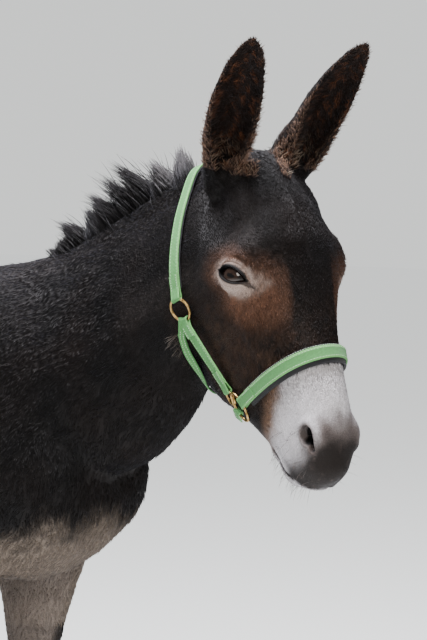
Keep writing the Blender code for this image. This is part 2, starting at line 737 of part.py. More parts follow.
def strap(name, body, centre, first, second, span, width, group, surface, lift=0.0, thick=STRAP_THICK):
    """A band across body in the plane of first and second, from one angle of span to the other."""
    normal = first.cross(second).normalized()
    count = max(6, int(abs(span[1] - span[0]) / math.radians(11)))
    fine = np.linspace(span[0], span[1], 2 * count - 1)
    angles = fine[::2]
    flat = math.cos(fine[1] - fine[0])
    edges = []
    for offset in (-width / 2, 0.0, width / 2):
        reach = np.array(hull_reach(body, centre + normal * offset, normal, first, second, fine))
        lack = np.maximum(0, reach[1::2] - (reach[:-1:2] + reach[2::2]) / 2 * flat)
        raised = reach[::2].copy()
        raised[:-1] = np.maximum(raised[:-1], reach[:-1:2] + lack)
        raised[1:] = np.maximum(raised[1:], reach[2::2] + lack)
        edges.append(raised)
    rings = []
    for k, angle in enumerate(angles):
        way = first * math.cos(angle) + second * math.sin(angle)
        low, middle, high = edges[0][k], edges[1][k], edges[2][k]
        raise_by = max(0.0, middle - (low + high) / 2) + STRAP_CLEAR + lift
        corners = []
        for offset, reach in ((-width / 2, low), (width / 2, high)):
            corners.append(centre + normal * offset + way * (reach + raise_by))
        inner_low, inner_high = corners
        rings.append((inner_low, inner_high, inner_high + way * thick, inner_low + way * thick))
    made = loft(name, rings, group)
    return finish(made, surface, 35)


RING_STEPS, WIRE_SIDES = 14, 5


def wire_ring(name, centre, normal, along, length, width, wire, group, surface):
    """A closed ring of round wire, oblong where its length is more than its width."""
    across = normal.cross(along).normalized()
    rings = []
    for i in range(RING_STEPS):
        angle = 2 * math.pi * i / RING_STEPS
        out = along * math.cos(angle) * length + across * math.sin(angle) * width
        middle = centre + out / 2
        outward = (along * math.cos(angle) * width + across * math.sin(angle) * length).normalized()
        turns = [2 * math.pi * j / WIRE_SIDES for j in range(WIRE_SIDES)]
        rings.append([middle + (outward * math.cos(t) + normal * math.sin(t)) * wire / 2 for t in turns])
    shape = bmesh.new()
    rows = [[shape.verts.new(p) for p in ring] for ring in rings]
    for row, following in zip(rows, rows[1:] + rows[:1]):
        for j in range(WIRE_SIDES):
            k = (j + 1) % WIRE_SIDES
            shape.faces.new((row[j], row[k], following[k], following[j]))
    bmesh.ops.recalc_face_normals(shape, faces=shape.faces)
    mesh = bpy.data.meshes.new(name)
    shape.to_mesh(mesh)
    shape.free()
    return finish(add_mesh(name, mesh, group), surface)


# ------------------------------------------------------------------ mane
# y along the crest, height of the hair there
MANE_STATIONS = (
    (-0.145, 0.012),
    (-0.175, 0.040),
    (-0.215, 0.062),
    (-0.290, 0.088),
    (-0.360, 0.090),
    (-0.420, 0.068),
    (-0.470, 0.058),
    (-0.484, 0.054),
)
MANE_LOCK = 0.034  # one clump of hair along the crest
MANE_BASE = 0.034


def mane_form(group):
    """An upright crest of hair in clumps, its foot sunk into the neck."""
    places = np.linspace(MANE_STATIONS[-1][0], MANE_STATIONS[0][0], 33)
    heights = curve_through(
        [-y for y, _ in MANE_STATIONS], np.array([[h] for _, h in MANE_STATIONS]), -places
    )[:, 0]
    table = np.array(NECK_STATIONS)[::-1]
    tops = curve_through(table[:, 0], table[:, [1, 8]], places)
    rings = []
    for place, height, (crest, shift) in zip(places, heights, tops):
        beat = (place / MANE_LOCK) % 1.0
        tall = height * (1.0 - 0.42 * abs(2 * beat - 1) ** 1.4)
        ring = []
        for share, wide in ((0.0, 1.0), (0.45, 0.75), (1.0, 0.16)):
            level = crest - 0.020 + (tall + 0.020) * share
            back = place + 0.30 * height * share
            ring.append((Vector((shift, back, level)), MANE_BASE / 2 * wide))
        left = [p + Vector((w, 0, 0)) for p, w in ring]
        right = [p - Vector((w, 0, 0)) for p, w in ring]
        rings.append(left + right[::-1])
    return loft("mane_form", rings, group)


# ------------------------------------------------------------------ the whole donkey
FACE_PLANE = (Vector((0, -0.492, 1.290)), Vector((0, -0.986, -0.164)).normalized())
NECK_PLANE = (Vector((0, -0.170, 0.930)), Vector((0, -0.870, 0.493)))
ELBOW_LEVEL, STIFLE_LEVEL = 0.532, 0.560
RIGHT_LEFT = ((-1, "right"), (1, "left"))


def build_body(donkey, forms, cutters, coat):
    """Head, neck, trunk and legs: one fused body, thinned in two lots and parted by planes."""
    trunk_forms(forms)
    neck_forms(forms)
    head_forms(forms)
    for side, _ in RIGHT_LEFT:
        for leg in ("fore", "hind"):
            leg_forms(leg, side, forms)
    whole = joined("whole", forms, cutters)
    point, normal = FACE_PLANE
    front = cut_by_plane(whole, point - normal * 0.07, -normal, "front_dense", cutters)
    rest = cut_by_plane(whole, point + normal * 0.03, normal, "rest_dense", cutters)
    remove(whole)
    front = as_cutter(thinned(front, FRONT_FACETS, "front", cutters))
    rest = as_cutter(thinned(rest, REST_FACETS, "rest", cutters))

    face_cut = slab("face_cut", point - normal * GAP / 2, normal, cutters)
    nape_cut = slab("nape_cut", point + normal * GAP / 2, -normal, cutters)
    base_point, base_normal = NECK_PLANE
    neck_cut = slab("neck_cut", base_point - base_normal * GAP / 2, base_normal, cutters)
    chest_cut = slab("chest_cut", base_point + base_normal * GAP / 2, -base_normal, cutters)

    eye_cuts = []
    for side, _ in RIGHT_LEFT:
        eye_cuts.append(as_cutter(ball("eye_socket", EYE_RADIUS + GAP, side, cutters)))
        eye_cuts.append(lid_opening(side, cutters))
        nostril = on_head(0.467, side * 0.051, -0.054)
        hollow = ellipsoid("nostril", nostril, (0.013, 0.017, 0.010), HEAD_AXES, cutters, 10)
        eye_cuts.append(as_cutter(hollow))
    head = carved(front, "head", [nape_cut, *eye_cuts], donkey, coat)
    carved(rest, "neck", [face_cut, chest_cut], donkey, coat)

    leg_cuts = []
    for side, word in RIGHT_LEFT:
        for leg, level, near, far in (
            ("fore", ELBOW_LEVEL, -0.30, 0.18),
            ("hind", STIFLE_LEVEL, 0.50, 1.00),
        ):
            inner, outer = sorted((side * 0.012, side * 0.30))
            above = block("above_" + leg, (inner, near, -0.1), (outer, far, level), cutters)
            below = block("below_" + leg, (inner, near, -0.1), (outer, far, level - GAP), cutters)
            leg_cuts.append(above)
            top, up = coronet(leg, side)
            hoof_cut = slab("hoof_cut", top + up * GAP, -up, cutters, 0.2, 0.3)
            wall_cut = slab("wall_cut", top, up, cutters, 0.2, 0.3)
            carved(rest, f"{leg}leg_{word}", [(below,), hoof_cut], donkey, coat)
            horn = hoof_form(leg, side, cutters)
            carved(horn, f"hoof_{leg}_{word}", [wall_cut], donkey, SURFACES["horn"])
            remove(horn)
    trunk = carved(rest, "trunk", [neck_cut, *leg_cuts], donkey, coat)
    return front, rest, head, trunk


def build_ears_and_tail(donkey, forms, cutters, coat, head, trunk):
    around_head = grown(head, "around_head", cutters)
    # the left ear's root runs out to a sliver in a fold of the nape, so it ends just above that
    low_foot = block("low_foot", (0.0, -1.0, 1.0), (0.3, -0.3, 1.2345), cutters)
    for side, word in RIGHT_LEFT:
        ear_forms(side, forms)
        dense = joined("ear_dense", forms, cutters, 0.0022, 4)
        light = thinned(dense, EAR_FACETS, "ear_light", cutters)
        carved(light, "ear_" + word, [around_head, low_foot], donkey, coat)
        remove(light)
    around_trunk = grown(trunk, "around_trunk", cutters)
    tail = thinned(limb("tail_dense", TAIL_LINE, TAIL_RADII, cutters), TAIL_FACETS, "tail_light", cutters)
    end = Vector((0, 0, SWITCH_TOP))
    below = slab("switch_cut", end + Vector((0, 0, GAP / 2)), (0, 0, -1), cutters)
    above = slab("dock_cut", end - Vector((0, 0, GAP / 2)), (0, 0, 1), cutters)
    carved(tail, "tail", [around_trunk, below], donkey, coat)
    remove(tail)
    switch = limb("switch_dense", SWITCH_LINE, SWITCH_RADII, cutters)
    switch = thinned(switch, TAIL_FACETS, "switch_light", cutters)
    carved(switch, "tail_switch", [above], donkey, SURFACES["hair"])
    remove(switch)


def build_mane(donkey, cutters, neck):
    around_neck = grown(neck, "around_neck", cutters)
    form = mane_form(cutters)
    carved(form, "mane", [around_neck], donkey, SURFACES["hair"])
    remove(form)


def build_headcollar(donkey, body, head):
    """Straps between brass rings, each in the plane that its two ends and the head's width give."""
    web, brass = SURFACES["webbing"], SURFACES["brass"]
    skin = BVHTree.FromPolygons([v.co for v in body.vertices], [list(p.vertices) for p in body.polygons])
    nose_out = (HEAD_OUT * 0.998 - HEAD_ALONG * 0.067).normalized()
    nose = on_head(0.352, 0, -0.085)
    strap("noseband", body, nose, nose_out, HEAD_LEFT, (-2.50, 2.50), 0.027, donkey, web, 0.0, 0.0075)
    strap("chin_strap", body, nose, nose_out, HEAD_LEFT, (3.00, 3.28), 0.018, donkey, web)

    rise = (HEAD_OUT * 0.330 - HEAD_ALONG * 0.944).normalized()
    nape = on_head(0.082, 0, -0.172)
    strap("crown_strap", body, nape, rise, HEAD_LEFT, (-2.235, 2.235), 0.018, donkey, web)
    down = (HEAD_ALONG * 0.83 - HEAD_OUT * 0.558).normalized()
    throat = on_head(0.209, 0, -0.2255)
    strap("throat_strap", head, throat, down, HEAD_LEFT, (-1.45, 1.45), 0.012, donkey, web)
    cheek_line = (HEAD_ALONG * 0.994 + HEAD_OUT * 0.112).normalized()
    cheek = on_head(0.274, 0, -0.2035)
    upper, lower = math.radians(140), math.radians(159.5)
    lower_line = (HEAD_ALONG + HEAD_OUT * 0.05).normalized()
    for side, word in RIGHT_LEFT:
        span = (side * 0.90, side * 2.22)
        strap("cheek_strap_" + word, body, cheek, cheek_line, HEAD_LEFT, span, 0.018, donkey, web)
        size = (0.038, 0.030, 0.005)
        way = rise * math.cos(side * upper) + HEAD_LEFT * math.sin(side * upper)
        middle, normal = seat_on(skin, nape, way, cheek_line, size)
        line = (cheek_line - normal * cheek_line.dot(normal)).normalized()
        wire_ring("ring_upper_" + word, middle, normal, line, *size, donkey, brass)
        square_fitting("ring_lower_" + word, skin, nose, nose_out, side * lower, lower_line, donkey, brass)


def square_fitting(name, skin, centre, first, angle, along, group, surface):
    """A long ring that takes the noseband and the chin strap, fused to a small one for the cheek strap."""
    size = (0.050, 0.026, 0.005)
    way = first * math.cos(angle) + HEAD_LEFT * math.sin(angle)
    middle, normal = seat_on(skin, centre, way, along, size)
    line = (along - normal * along.dot(normal)).normalized()
    across = normal.cross(line).normalized()
    if across.dot(HEAD_OUT) > 0:
        across = -across
    beside = middle - line * 0.022 + across * 0.010
    small = wire_ring("small_ring", beside, normal, line, 0.024, 0.018, 0.0046, group, surface)
    large = wire_ring("large_ring", middle, normal, line, *size, group, surface)
    fuse = large.modifiers.new("fuse", "BOOLEAN")
    fuse.solver = "EXACT"
    fuse.operation = "UNION"
    fuse.object = small
    made = evaluated_copy(large, name, group)
    remove(large)
    remove(small)
    return finish(made, surface)


def seat_on(skin, inside, way, along, size):
    """Where a flat ring lies on the skin: its middle, clear of every point under it, and its normal."""
    length, width, wire = size
    line = (along - way * along.dot(way)).normalized()
    across = way.cross(line)
    found = []
    for turn in range(12):
        angle = math.pi * turn / 6
        step = line * math.cos(angle) * length / 2 + across * math.sin(angle) * width / 2
        found.append(skin.ray_cast(inside + step + way * 0.3, -way)[0])
    middle = sum(found, Vector()) / 12
    normal = Vector()
    for point, following in zip(found, found[1:] + found[:1]):
        normal += (point - middle).cross(following - middle)
    normal = normal.normalized()
    if normal.dot(way) < 0:
        normal = -normal
    found.append(skin.ray_cast(inside + way * 0.3, -way)[0])
    rise = max((point - middle).dot(normal) for point in found)
    return middle + normal * (rise + wire / 2 + 0.0015), normal


SURFACES = {}


def main():
    clear_scene()
    donkey = new_group("donkey")
    forms = new_group("forms", hidden=True)
    cutters = new_group("cutters", hidden=True)
    coat = material("short_dark_coat", (0.030, 0.024, 0.022), 0.6)
    SURFACES["horn"] = material("hoof_horn", (0.060, 0.050, 0.042), 0.5)
    SURFACES["hair"] = material("long_dark_hair", (0.018, 0.014, 0.013), 0.6)
    SURFACES["webbing"] = material("green_webbing", (0.260, 0.560, 0.300), 0.8)
    SURFACES["brass"] = material("brass", (0.600, 0.420, 0.180), 0.35, 1.0)
    SURFACES["eye"] = material("dark_eye", (0.020, 0.010, 0.006), 0.1)

    front, rest, head, trunk = build_body(donkey, forms, cutters, coat)
    build_ears_and_tail(donkey, forms, cutters, coat, head, trunk)
    build_mane(donkey, cutters, bpy.data.objects["neck"])
    for side, word in RIGHT_LEFT:
        finish(ball("eye_" + word, EYE_RADIUS, side, donkey), SURFACES["eye"])
    build_headcollar(donkey, front.data, head.data)

    for item in list(cutters.objects):
        remove(item)
    corners = [v.co for item in donkey.objects for v in item.data.vertices]
    low = Vector([min(c[i] for c in corners) for i in range(3)])
    high = Vector([max(c[i] for c in corners) for i in range(3)])
    shift = Vector((-(low.x + high.x) / 2, -(low.y + high.y) / 2, -low.z))
    for item in donkey.objects:
        item.data.transform(Matrix.Translation(shift))


main()
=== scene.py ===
# %% [markdown]
# # A donkey in a headcollar
# A life-size museum model of a dark brown donkey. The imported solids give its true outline, out to
# the tips of the coat. Here they become one skin with lids, nostrils and lips, a coat of short
# tufts, a long mane and tail, and a webbing headcollar with brass rings.

import json
import math

import bpy
import numpy as np
from mathutils import Matrix, Vector
from mathutils.bvhtree import BVHTree

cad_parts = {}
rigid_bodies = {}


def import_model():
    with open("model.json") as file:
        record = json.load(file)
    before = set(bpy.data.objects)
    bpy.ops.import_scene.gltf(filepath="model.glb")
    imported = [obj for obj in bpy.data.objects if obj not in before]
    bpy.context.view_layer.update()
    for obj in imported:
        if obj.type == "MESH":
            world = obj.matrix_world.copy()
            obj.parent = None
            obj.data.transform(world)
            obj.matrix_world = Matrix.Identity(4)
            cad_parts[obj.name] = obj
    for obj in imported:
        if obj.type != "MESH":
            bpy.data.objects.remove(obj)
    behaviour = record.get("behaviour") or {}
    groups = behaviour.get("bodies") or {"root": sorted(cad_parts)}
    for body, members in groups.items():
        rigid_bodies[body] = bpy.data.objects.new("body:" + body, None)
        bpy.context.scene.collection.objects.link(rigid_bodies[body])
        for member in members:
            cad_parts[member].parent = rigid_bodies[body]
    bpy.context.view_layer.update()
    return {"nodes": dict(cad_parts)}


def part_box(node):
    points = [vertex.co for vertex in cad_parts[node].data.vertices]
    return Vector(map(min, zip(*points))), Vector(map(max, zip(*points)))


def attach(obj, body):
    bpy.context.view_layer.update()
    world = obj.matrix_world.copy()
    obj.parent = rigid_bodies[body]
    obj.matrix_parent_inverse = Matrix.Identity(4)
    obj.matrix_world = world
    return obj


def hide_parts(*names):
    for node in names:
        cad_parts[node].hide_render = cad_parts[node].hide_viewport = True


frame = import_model()
nodes = frame["nodes"]

# %% [markdown]
# ## Small helpers
# Colours are written as the hex values that a colour picker shows, and one function turns them
# into the linear numbers that a shader adds up. Another adds a node with its settings and links.

# %% Colour and node helpers
def linear(code):
    """sRGB hex to linear red, green and blue."""
    parts = [int(code[i:i + 2], 16) / 255 for i in (1, 3, 5)]
    return [p / 12.92 if p <= 0.04045 else ((p + 0.055) / 1.055) ** 2.4 for p in parts]


def add_node(tree, kind, settings=None, **links):
    """A node with its settings, and each input either linked to a socket or set to a value."""
    made = tree.nodes.new("ShaderNode" + kind)
    for name, value in (settings or {}).items():
        setattr(made, name, value)
    for name, value in links.items():
        wanted = name.replace("_", " ").lower()
        socket = next(s for s in made.inputs if s.name.lower() == wanted and s.enabled)
        if isinstance(value, bpy.types.NodeSocket):
            tree.links.new(value, socket)
        else:
            socket.default_value = (*linear(value), 1.0) if isinstance(value, str) else value
    return made


def new_material(name, **values):
    """A material with one Principled shader, whose plain sockets are set here."""
    made = bpy.data.materials.new(name)
    made.use_nodes = True
    shader = made.node_tree.nodes["Principled BSDF"]
    for socket, value in values.items():
        socket = socket.replace("_", " ")
        shader.inputs[socket].default_value = (*linear(value), 1.0) if isinstance(value, str) else value
    return made, made.node_tree, shader


def colour_ramp(tree, factor, stops):
    ramp = add_node(tree, "ValToRGB", Fac=factor)
    while len(ramp.color_ramp.elements) < len(stops):
        ramp.color_ramp.elements.new(0.5)
    for element, (place, code) in zip(ramp.color_ramp.elements, stops):
        element.position = place
        element.color = (*linear(code), 1.0)
    return ramp.outputs["Color"]


def finish_surface(tree, shader, colour, height=None, strength=0.0, distance=0.0):
    """Links a shader's colour and, where a height is given, the relief that it makes."""
    tree.links.new(colour, shader.inputs["Base Color"])
    if height is not None:
        raised = add_node(tree, "Bump", Height=height, Strength=strength, Distance=distance)
        tree.links.new(raised.outputs["Normal"], shader.inputs["Normal"])


def streaks_of(tree, place, scale, detail):
    """A fine noise over a place, as grey values round 0.5."""
    return add_node(tree, "TexNoise", Vector=place, Scale=scale, Detail=detail).outputs["Fac"]


def map_range(tree, value, *ends):
    """A value taken from the first two ends to the last two, which are 0 and 1 unless given."""
    names = ("From_Min", "From_Max", "To_Min", "To_Max")
    return add_node(tree, "MapRange", Value=value, **dict(zip(names, ends))).outputs["Result"]


def vector_math(tree, operation, output, **links):
    return add_node(tree, "VectorMath", {"operation": operation}, **links).outputs[output]


# %% Mesh helpers
def only(*items):
    """Selects these objects alone and makes the first one active."""
    bpy.ops.object.select_all(action="DESELECT")
    for item in items:
        item.select_set(True)
    bpy.context.view_layer.objects.active = items[0]


def in_edit(item, operation, **settings):
    """Runs one edit-mode operation on the whole of a mesh."""
    only(item)
    bpy.ops.object.mode_set(mode="EDIT")
    bpy.ops.mesh.select_all(action="SELECT")
    operation(**settings)
    bpy.ops.object.mode_set(mode="OBJECT")


def new_object(name, data):
    made = bpy.data.objects.new(name, data)
    bpy.context.scene.collection.objects.link(made)
    return made


def new_shape(operation, name, **settings):
    """One of Blender's own shapes, named and selected alone."""
    operation(**settings)
    made = bpy.context.object
    made.name = name
    only(made)
    return made


def read(group, key, width=3, kind=np.float32):
    """What a mesh holds under this key, one row for each element."""
    found = np.empty(len(group) * width, kind)
    group.foreach_get(key, found)
    return found.reshape(-1, width)


def points_of(item):
    return read(item.data.vertices, "co").astype(float)


def normals_of(item):
    return read(item.data.vertex_normals, "vector").astype(float)


def set_points(item, points):
    item.data.vertices.foreach_set("co", np.asarray(points, np.float32).ravel())
    item.data.update()


def apply_modifier(item, kind, **settings):
    only(item)
    modifier = item.modifiers.new(kind.lower(), kind)
    for name, value in settings.items():
        setattr(modifier, name, value)
    bpy.ops.object.modifier_apply(modifier=modifier.name)


# %% Small sums
def unit(v):
    v = np.asarray(v, float)
    return v / np.maximum(np.linalg.norm(v, axis=-1, keepdims=True), 1e-12)


def smooth(low, high, x):
    """0 at low and 1 at high, easing in between. It falls where low is above high."""
    t = np.clip((x - low) / (high - low), 0, 1)
    return t * t * (3 - 2 * t)


def ridge(x, middle, width):
    """1 at the middle, falling away to both sides like the section of a soft fold."""
    return np.exp(-((x - middle) / width) ** 2)


def blend(base, value, share):
    """Base moved towards value by a share, which may differ from row to row."""
    share = share[:, None] if np.ndim(base) > np.ndim(share) else share
    return base * (1 - share) + np.asarray(value) * share


def travel(line):
    """Distance travelled along a line at each of its points."""
    return np.concatenate([[0], np.cumsum(np.linalg.norm(np.diff(line, axis=0), axis=1))])


def sample(at, travelled, line):
    """The line at these distances along it."""
    return np.stack([np.interp(at, travelled, line[:, k]) for k in range(3)], -1)


# %% [markdown]
# ## Where the head is
# The neck bends and the head turns a little to its right. Everything on the face is easier to
# place along the face, to its side and out of it, so the head gets axes of its own. They start
# from the eyes, which the solids give, and from the three angles at which the head is held.

# %% Axes of the head
HEAD_YAW, HEAD_PITCH, HEAD_TILT = map(math.radians, (14.5, 64.0, -1.5))
EYE_ALONG, EYE_DEPTH = 0.190, 0.046
EYE_RADIUS = 0.0205
SIDES = ((-1, "right"), (1, "left"))

face_forward = np.array([-math.sin(HEAD_YAW), -math.cos(HEAD_YAW), 0])
face_left = np.array([math.cos(HEAD_YAW), -math.sin(HEAD_YAW), 0])
upward = np.array([0, 0, 1.0])
head_along = face_forward * math.cos(HEAD_PITCH) - upward * math.sin(HEAD_PITCH)
straight_out = face_forward * math.sin(HEAD_PITCH) + upward * math.cos(HEAD_PITCH)
head_left = face_left * math.cos(HEAD_TILT) + straight_out * math.sin(HEAD_TILT)
head_out = straight_out * math.cos(HEAD_TILT) - face_left * math.sin(HEAD_TILT)

eye_middle = {side: np.array(sum(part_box("eye_" + word), Vector()) / 2) for side, word in SIDES}
between_eyes = (eye_middle[-1] + eye_middle[1]) / 2
poll = between_eyes - head_along * EYE_ALONG + head_out * EYE_DEPTH


def on_head(along, side, out):
    return poll + head_along * along + head_left * side + head_out * out


def head_place(points):
    """Along the face, to its left and out of it, for each point."""
    away = points - poll
    return away @ head_along, away @ head_left, away @ head_out


print("poll at", poll.round(3), "eyes", np.linalg.norm(eye_middle[1] - eye_middle[-1]).round(3), "m apart")

# %% Axes of the eyes and ears
def eye_axes(side):
    """The way the eye looks, the line from its outer to its inner corner, and up across that."""
    gaze = unit(head_left * side * 0.88 + head_out * 0.36 + head_along * 0.06)
    corner = head_along + head_out * 1.2
    corner = unit(corner - gaze * (corner @ gaze))
    across = np.cross(gaze, corner)
    return gaze, corner, across if across[2] > 0 else -across


EYE_BALL = 0.0262
SEAT_BACK, SEAT_LOW = 0.0068, 0.0086  # the eyeball sits this far behind and below its solid's middle
eye_seat = {}
for side, _ in SIDES:
    gaze, corner, up = eye_axes(side)
    eye_seat[side] = eye_middle[side] - gaze * (EYE_BALL - EYE_RADIUS) - corner * SEAT_BACK - up * SEAT_LOW


def near_eye(points, side, inner, outer):
    """1 within the inner distance of the eyeball's middle, 0 beyond the outer one."""
    return 1 - smooth(inner, outer, np.linalg.norm(points - eye_seat[side], axis=1))


EAR_LENGTH = 0.247
EAR_HALF_WIDTH, EAR_HALF_DEPTH = 0.055, 0.06
# side: its base along, beside and out of the head, then forward, outward and up its length, then its turn
EAR_SEATS = {
    -1: ((0.020, 0.074, -0.046), (0.54, 0.145, 0.84), 0.40),
    1: ((0.018, 0.070, -0.036), (0.58, 0.13, 0.80), -0.08),
}


def ear_axes(side):
    """Base point, then up the ear, out of its opening, and across it."""
    (along, across, out), (forward, outward, rise), turned = EAR_SEATS[side]
    up = unit(face_forward * forward + face_left * side * outward + upward * rise)
    opening = face_forward * math.cos(turned) + face_left * side * math.sin(turned)
    opening = unit(opening - up * (opening @ up))
    return on_head(along, side * across, out), up, opening, np.cross(up, opening)


def ear_place(points, side):
    """Share of the ear's length, across it and out of its opening."""
    base, up, opening, across = ear_axes(side)
    away = points - base
    return away @ up / EAR_LENGTH, away @ across, away @ opening


# %% [markdown]
# ## One skin
# The solids of the flesh are parted by hair-thin cuts. Swelling each a touch makes them overlap,
# and a voxel remesh then wraps one closed skin round them all. The eyeballs go in too, so that the
# sockets fill up: the lids are shaped afterwards. Smoothing takes the facets away, more on the
# broad body than on the face and ears.

# %% Fuse the flesh
FLESH = ["head", "neck", "trunk", "tail"]
FLESH += [part + word for part in ("foreleg_", "hindleg_", "ear_") for _, word in SIDES]
SKIN_GRAIN, SWELL = 0.0035, 0.0006

copies = [new_object(f"{name}_copy", nodes[name].data.copy()) for name in FLESH + ["eye_right", "eye_left"]]
only(*copies)
bpy.ops.object.join()
skin = bpy.context.object
in_edit(skin, bpy.ops.mesh.remove_doubles, threshold=1e-5)
apply_modifier(skin, "DISPLACE", strength=SWELL, mid_level=0.0)
apply_modifier(skin, "REMESH", mode="VOXEL", voxel_size=SKIN_GRAIN)
print("fused skin:", len(skin.data.vertices), "points")

# %% Drop bubbles that the cuts left inside
in_edit(skin, bpy.ops.mesh.separate, type="LOOSE")
loose = list(bpy.context.selected_objects)
skin = max(loose, key=lambda piece: len(piece.data.vertices))
for piece in loose:
    if piece is not skin:
        bpy.data.objects.remove(piece)
skin.name = "skin"
print("one body:", len(skin.data.vertices), "points")

# %% Regions of the body
def on_ear(points, side, low, high):
    """1 on one ear past the high share of its length, 0 before the low one."""
    up, across, out = ear_place(points, side)
    return smooth(low, high, up) * (np.abs(across) < EAR_HALF_WIDTH) * (np.abs(out) < EAR_HALF_DEPTH)


def in_ear(points):
    """1 on the free part of either ear."""
    return np.maximum(*(on_ear(points, side, 0.10, 0.26) for side, _ in SIDES))


def in_head(points):
    """1 on the head ahead of the throat and below the ears."""
    along, _, out = head_place(points)
    return smooth(-0.02, 0.05, along) * smooth(-0.335, -0.30, out) * smooth(0.45, 0.5, points[:, 2])


def in_leg(points):
    """1 from the knee and hock down."""
    return smooth(0.56, 0.40, points[:, 2]) * (np.abs(points[:, 0]) > 0.03) * (points[:, 1] < 0.83)


# %% Smooth the facets away
def soften(item, weights, passes):
    """Smooths each point by its weight, rounded to fifths."""
    group = item.vertex_groups.new(name="soft")
    steps = np.round(weights * 5).astype(int)
    for step in range(1, 6):
        chosen = np.flatnonzero(steps == step)
        if len(chosen):
            group.add(chosen.tolist(), step / 5, "REPLACE")
    apply_modifier(item, "SMOOTH", factor=0.5, iterations=passes, vertex_group="soft")
    item.vertex_groups.remove(item.vertex_groups["soft"])


places = points_of(skin)
calm = 1 - 0.8 * in_head(places)
calm *= 1 - 0.6 * in_leg(places)
calm *= 1 - in_ear(places)
soften(skin, calm, 50)
soften(skin, np.full(len(places), 0.6), 6)

# %% [markdown]
# ## Lighter, then finer where it counts
# The broad body needs few points, the lids, nostrils and lips need many. So the whole skin is
# collapsed first, and then the faces near those features are subdivided again.

# %% Thin out the skin
SKIN_FACES = 112000
apply_modifier(skin, "DECIMATE", ratio=SKIN_FACES / (2 * len(skin.data.polygons)))
print("thinned skin:", len(skin.data.polygons), "faces")

# %% Coat depth
def coat_depth(points):
    """How far below the tips of the coat the skin lies, in metres."""
    head = in_head(points)
    muzzle = head * smooth(0.37, 0.44, head_place(points)[0])
    depth = blend(0.0042, 0.0030, head)
    for here, share in ((0.0030, in_leg(points)), (0.0010, in_ear(points)), (0.0012, muzzle)):
        depth = blend(depth, here, share)
    for s, _ in SIDES:
        depth = blend(depth, 0.0008, near_eye(points, s, 0.028, 0.055))
    return depth


places, facing = points_of(skin), normals_of(skin)
set_points(skin, places - facing * coat_depth(places)[:, None])

# %% Finer faces near a place
def refine(item, centre, radii):
    """Subdivides the faces within each radius of centre in turn."""
    mesh = item.data
    for radius in radii:
        only(item)
        near = np.linalg.norm(read(mesh.polygons, "center") - centre, axis=1) < radius
        mesh.vertices.foreach_set("select", np.zeros(len(mesh.vertices), bool))
        mesh.edges.foreach_set("select", np.zeros(len(mesh.edges), bool))
        mesh.polygons.foreach_set("select", near)
        bpy.ops.object.mode_set(mode="EDIT")
        bpy.ops.mesh.select_mode(type="FACE")
        bpy.ops.mesh.subdivide(number_cuts=1, smoothness=0.6)
        bpy.ops.object.mode_set(mode="OBJECT")


# along, beside and out of the head
NOSTRIL, LIP_SIDE, LIP_FRONT = (0.467, 0.049, -0.055), (0.470, 0.035, -0.145), (0.520, 0, -0.105)
for s, _ in SIDES:
    refine(skin, eye_seat[s] + eye_axes(s)[0] * 0.020, (0.046, 0.035, 0.029))
    for (along, side, out), radii in ((NOSTRIL, (0.030, 0.026)), (LIP_SIDE, (0.036, 0.030))):
        refine(skin, on_head(along, s * side, out), radii)
refine(skin, on_head(*LIP_FRONT), (0.034,))
print("refined skin:", len(skin.data.polygons), "faces")

# %% [markdown]
# ## Lids, nostrils and mouth
# A donkey's eye lies between two thick lids. Each lid is a height over the eye: just proud of the
# eyeball outside an almond, and well behind it inside, so that the ball shows in the opening. The
# nostril is a comma-shaped pit, and the mouth a groove that runs round the muzzle.

# %% Lids
LID_HALF_LENGTH, UPPER_LID, LOWER_LID = 0.0243, 0.0113, 0.0088
LID_THICK, LID_SHIFT, OPENING_DEPTH = 0.0026, 0.0012, 0.0045


def lid_edges(lean):
    """How far the lids' edges stand above and below the line of the corners, from -1 at the outer to 1."""
    reach = np.clip(1 - lean ** 2, 0, 1)
    return UPPER_LID * reach ** 0.62 * (1 - 0.18 * lean), LOWER_LID * reach ** 0.75 * (1 - 0.10 * lean)


def eye_opening(points, side):
    """Distance outside the almond between the lids, and the place along, up and out from the eyeball."""
    away = points - eye_seat[side]
    c, a, b = (away @ axis for axis in eye_axes(side))
    a = a - LID_SHIFT
    top, low = lid_edges(np.clip(a / LID_HALF_LENGTH, -1, 1))
    past = np.maximum(np.abs(a) - LID_HALF_LENGTH, 0)
    outside = np.where(b > 0, b - top, -b - low) * 0.85
    return np.where(past > 0, np.hypot(past, b), outside), a, b, c


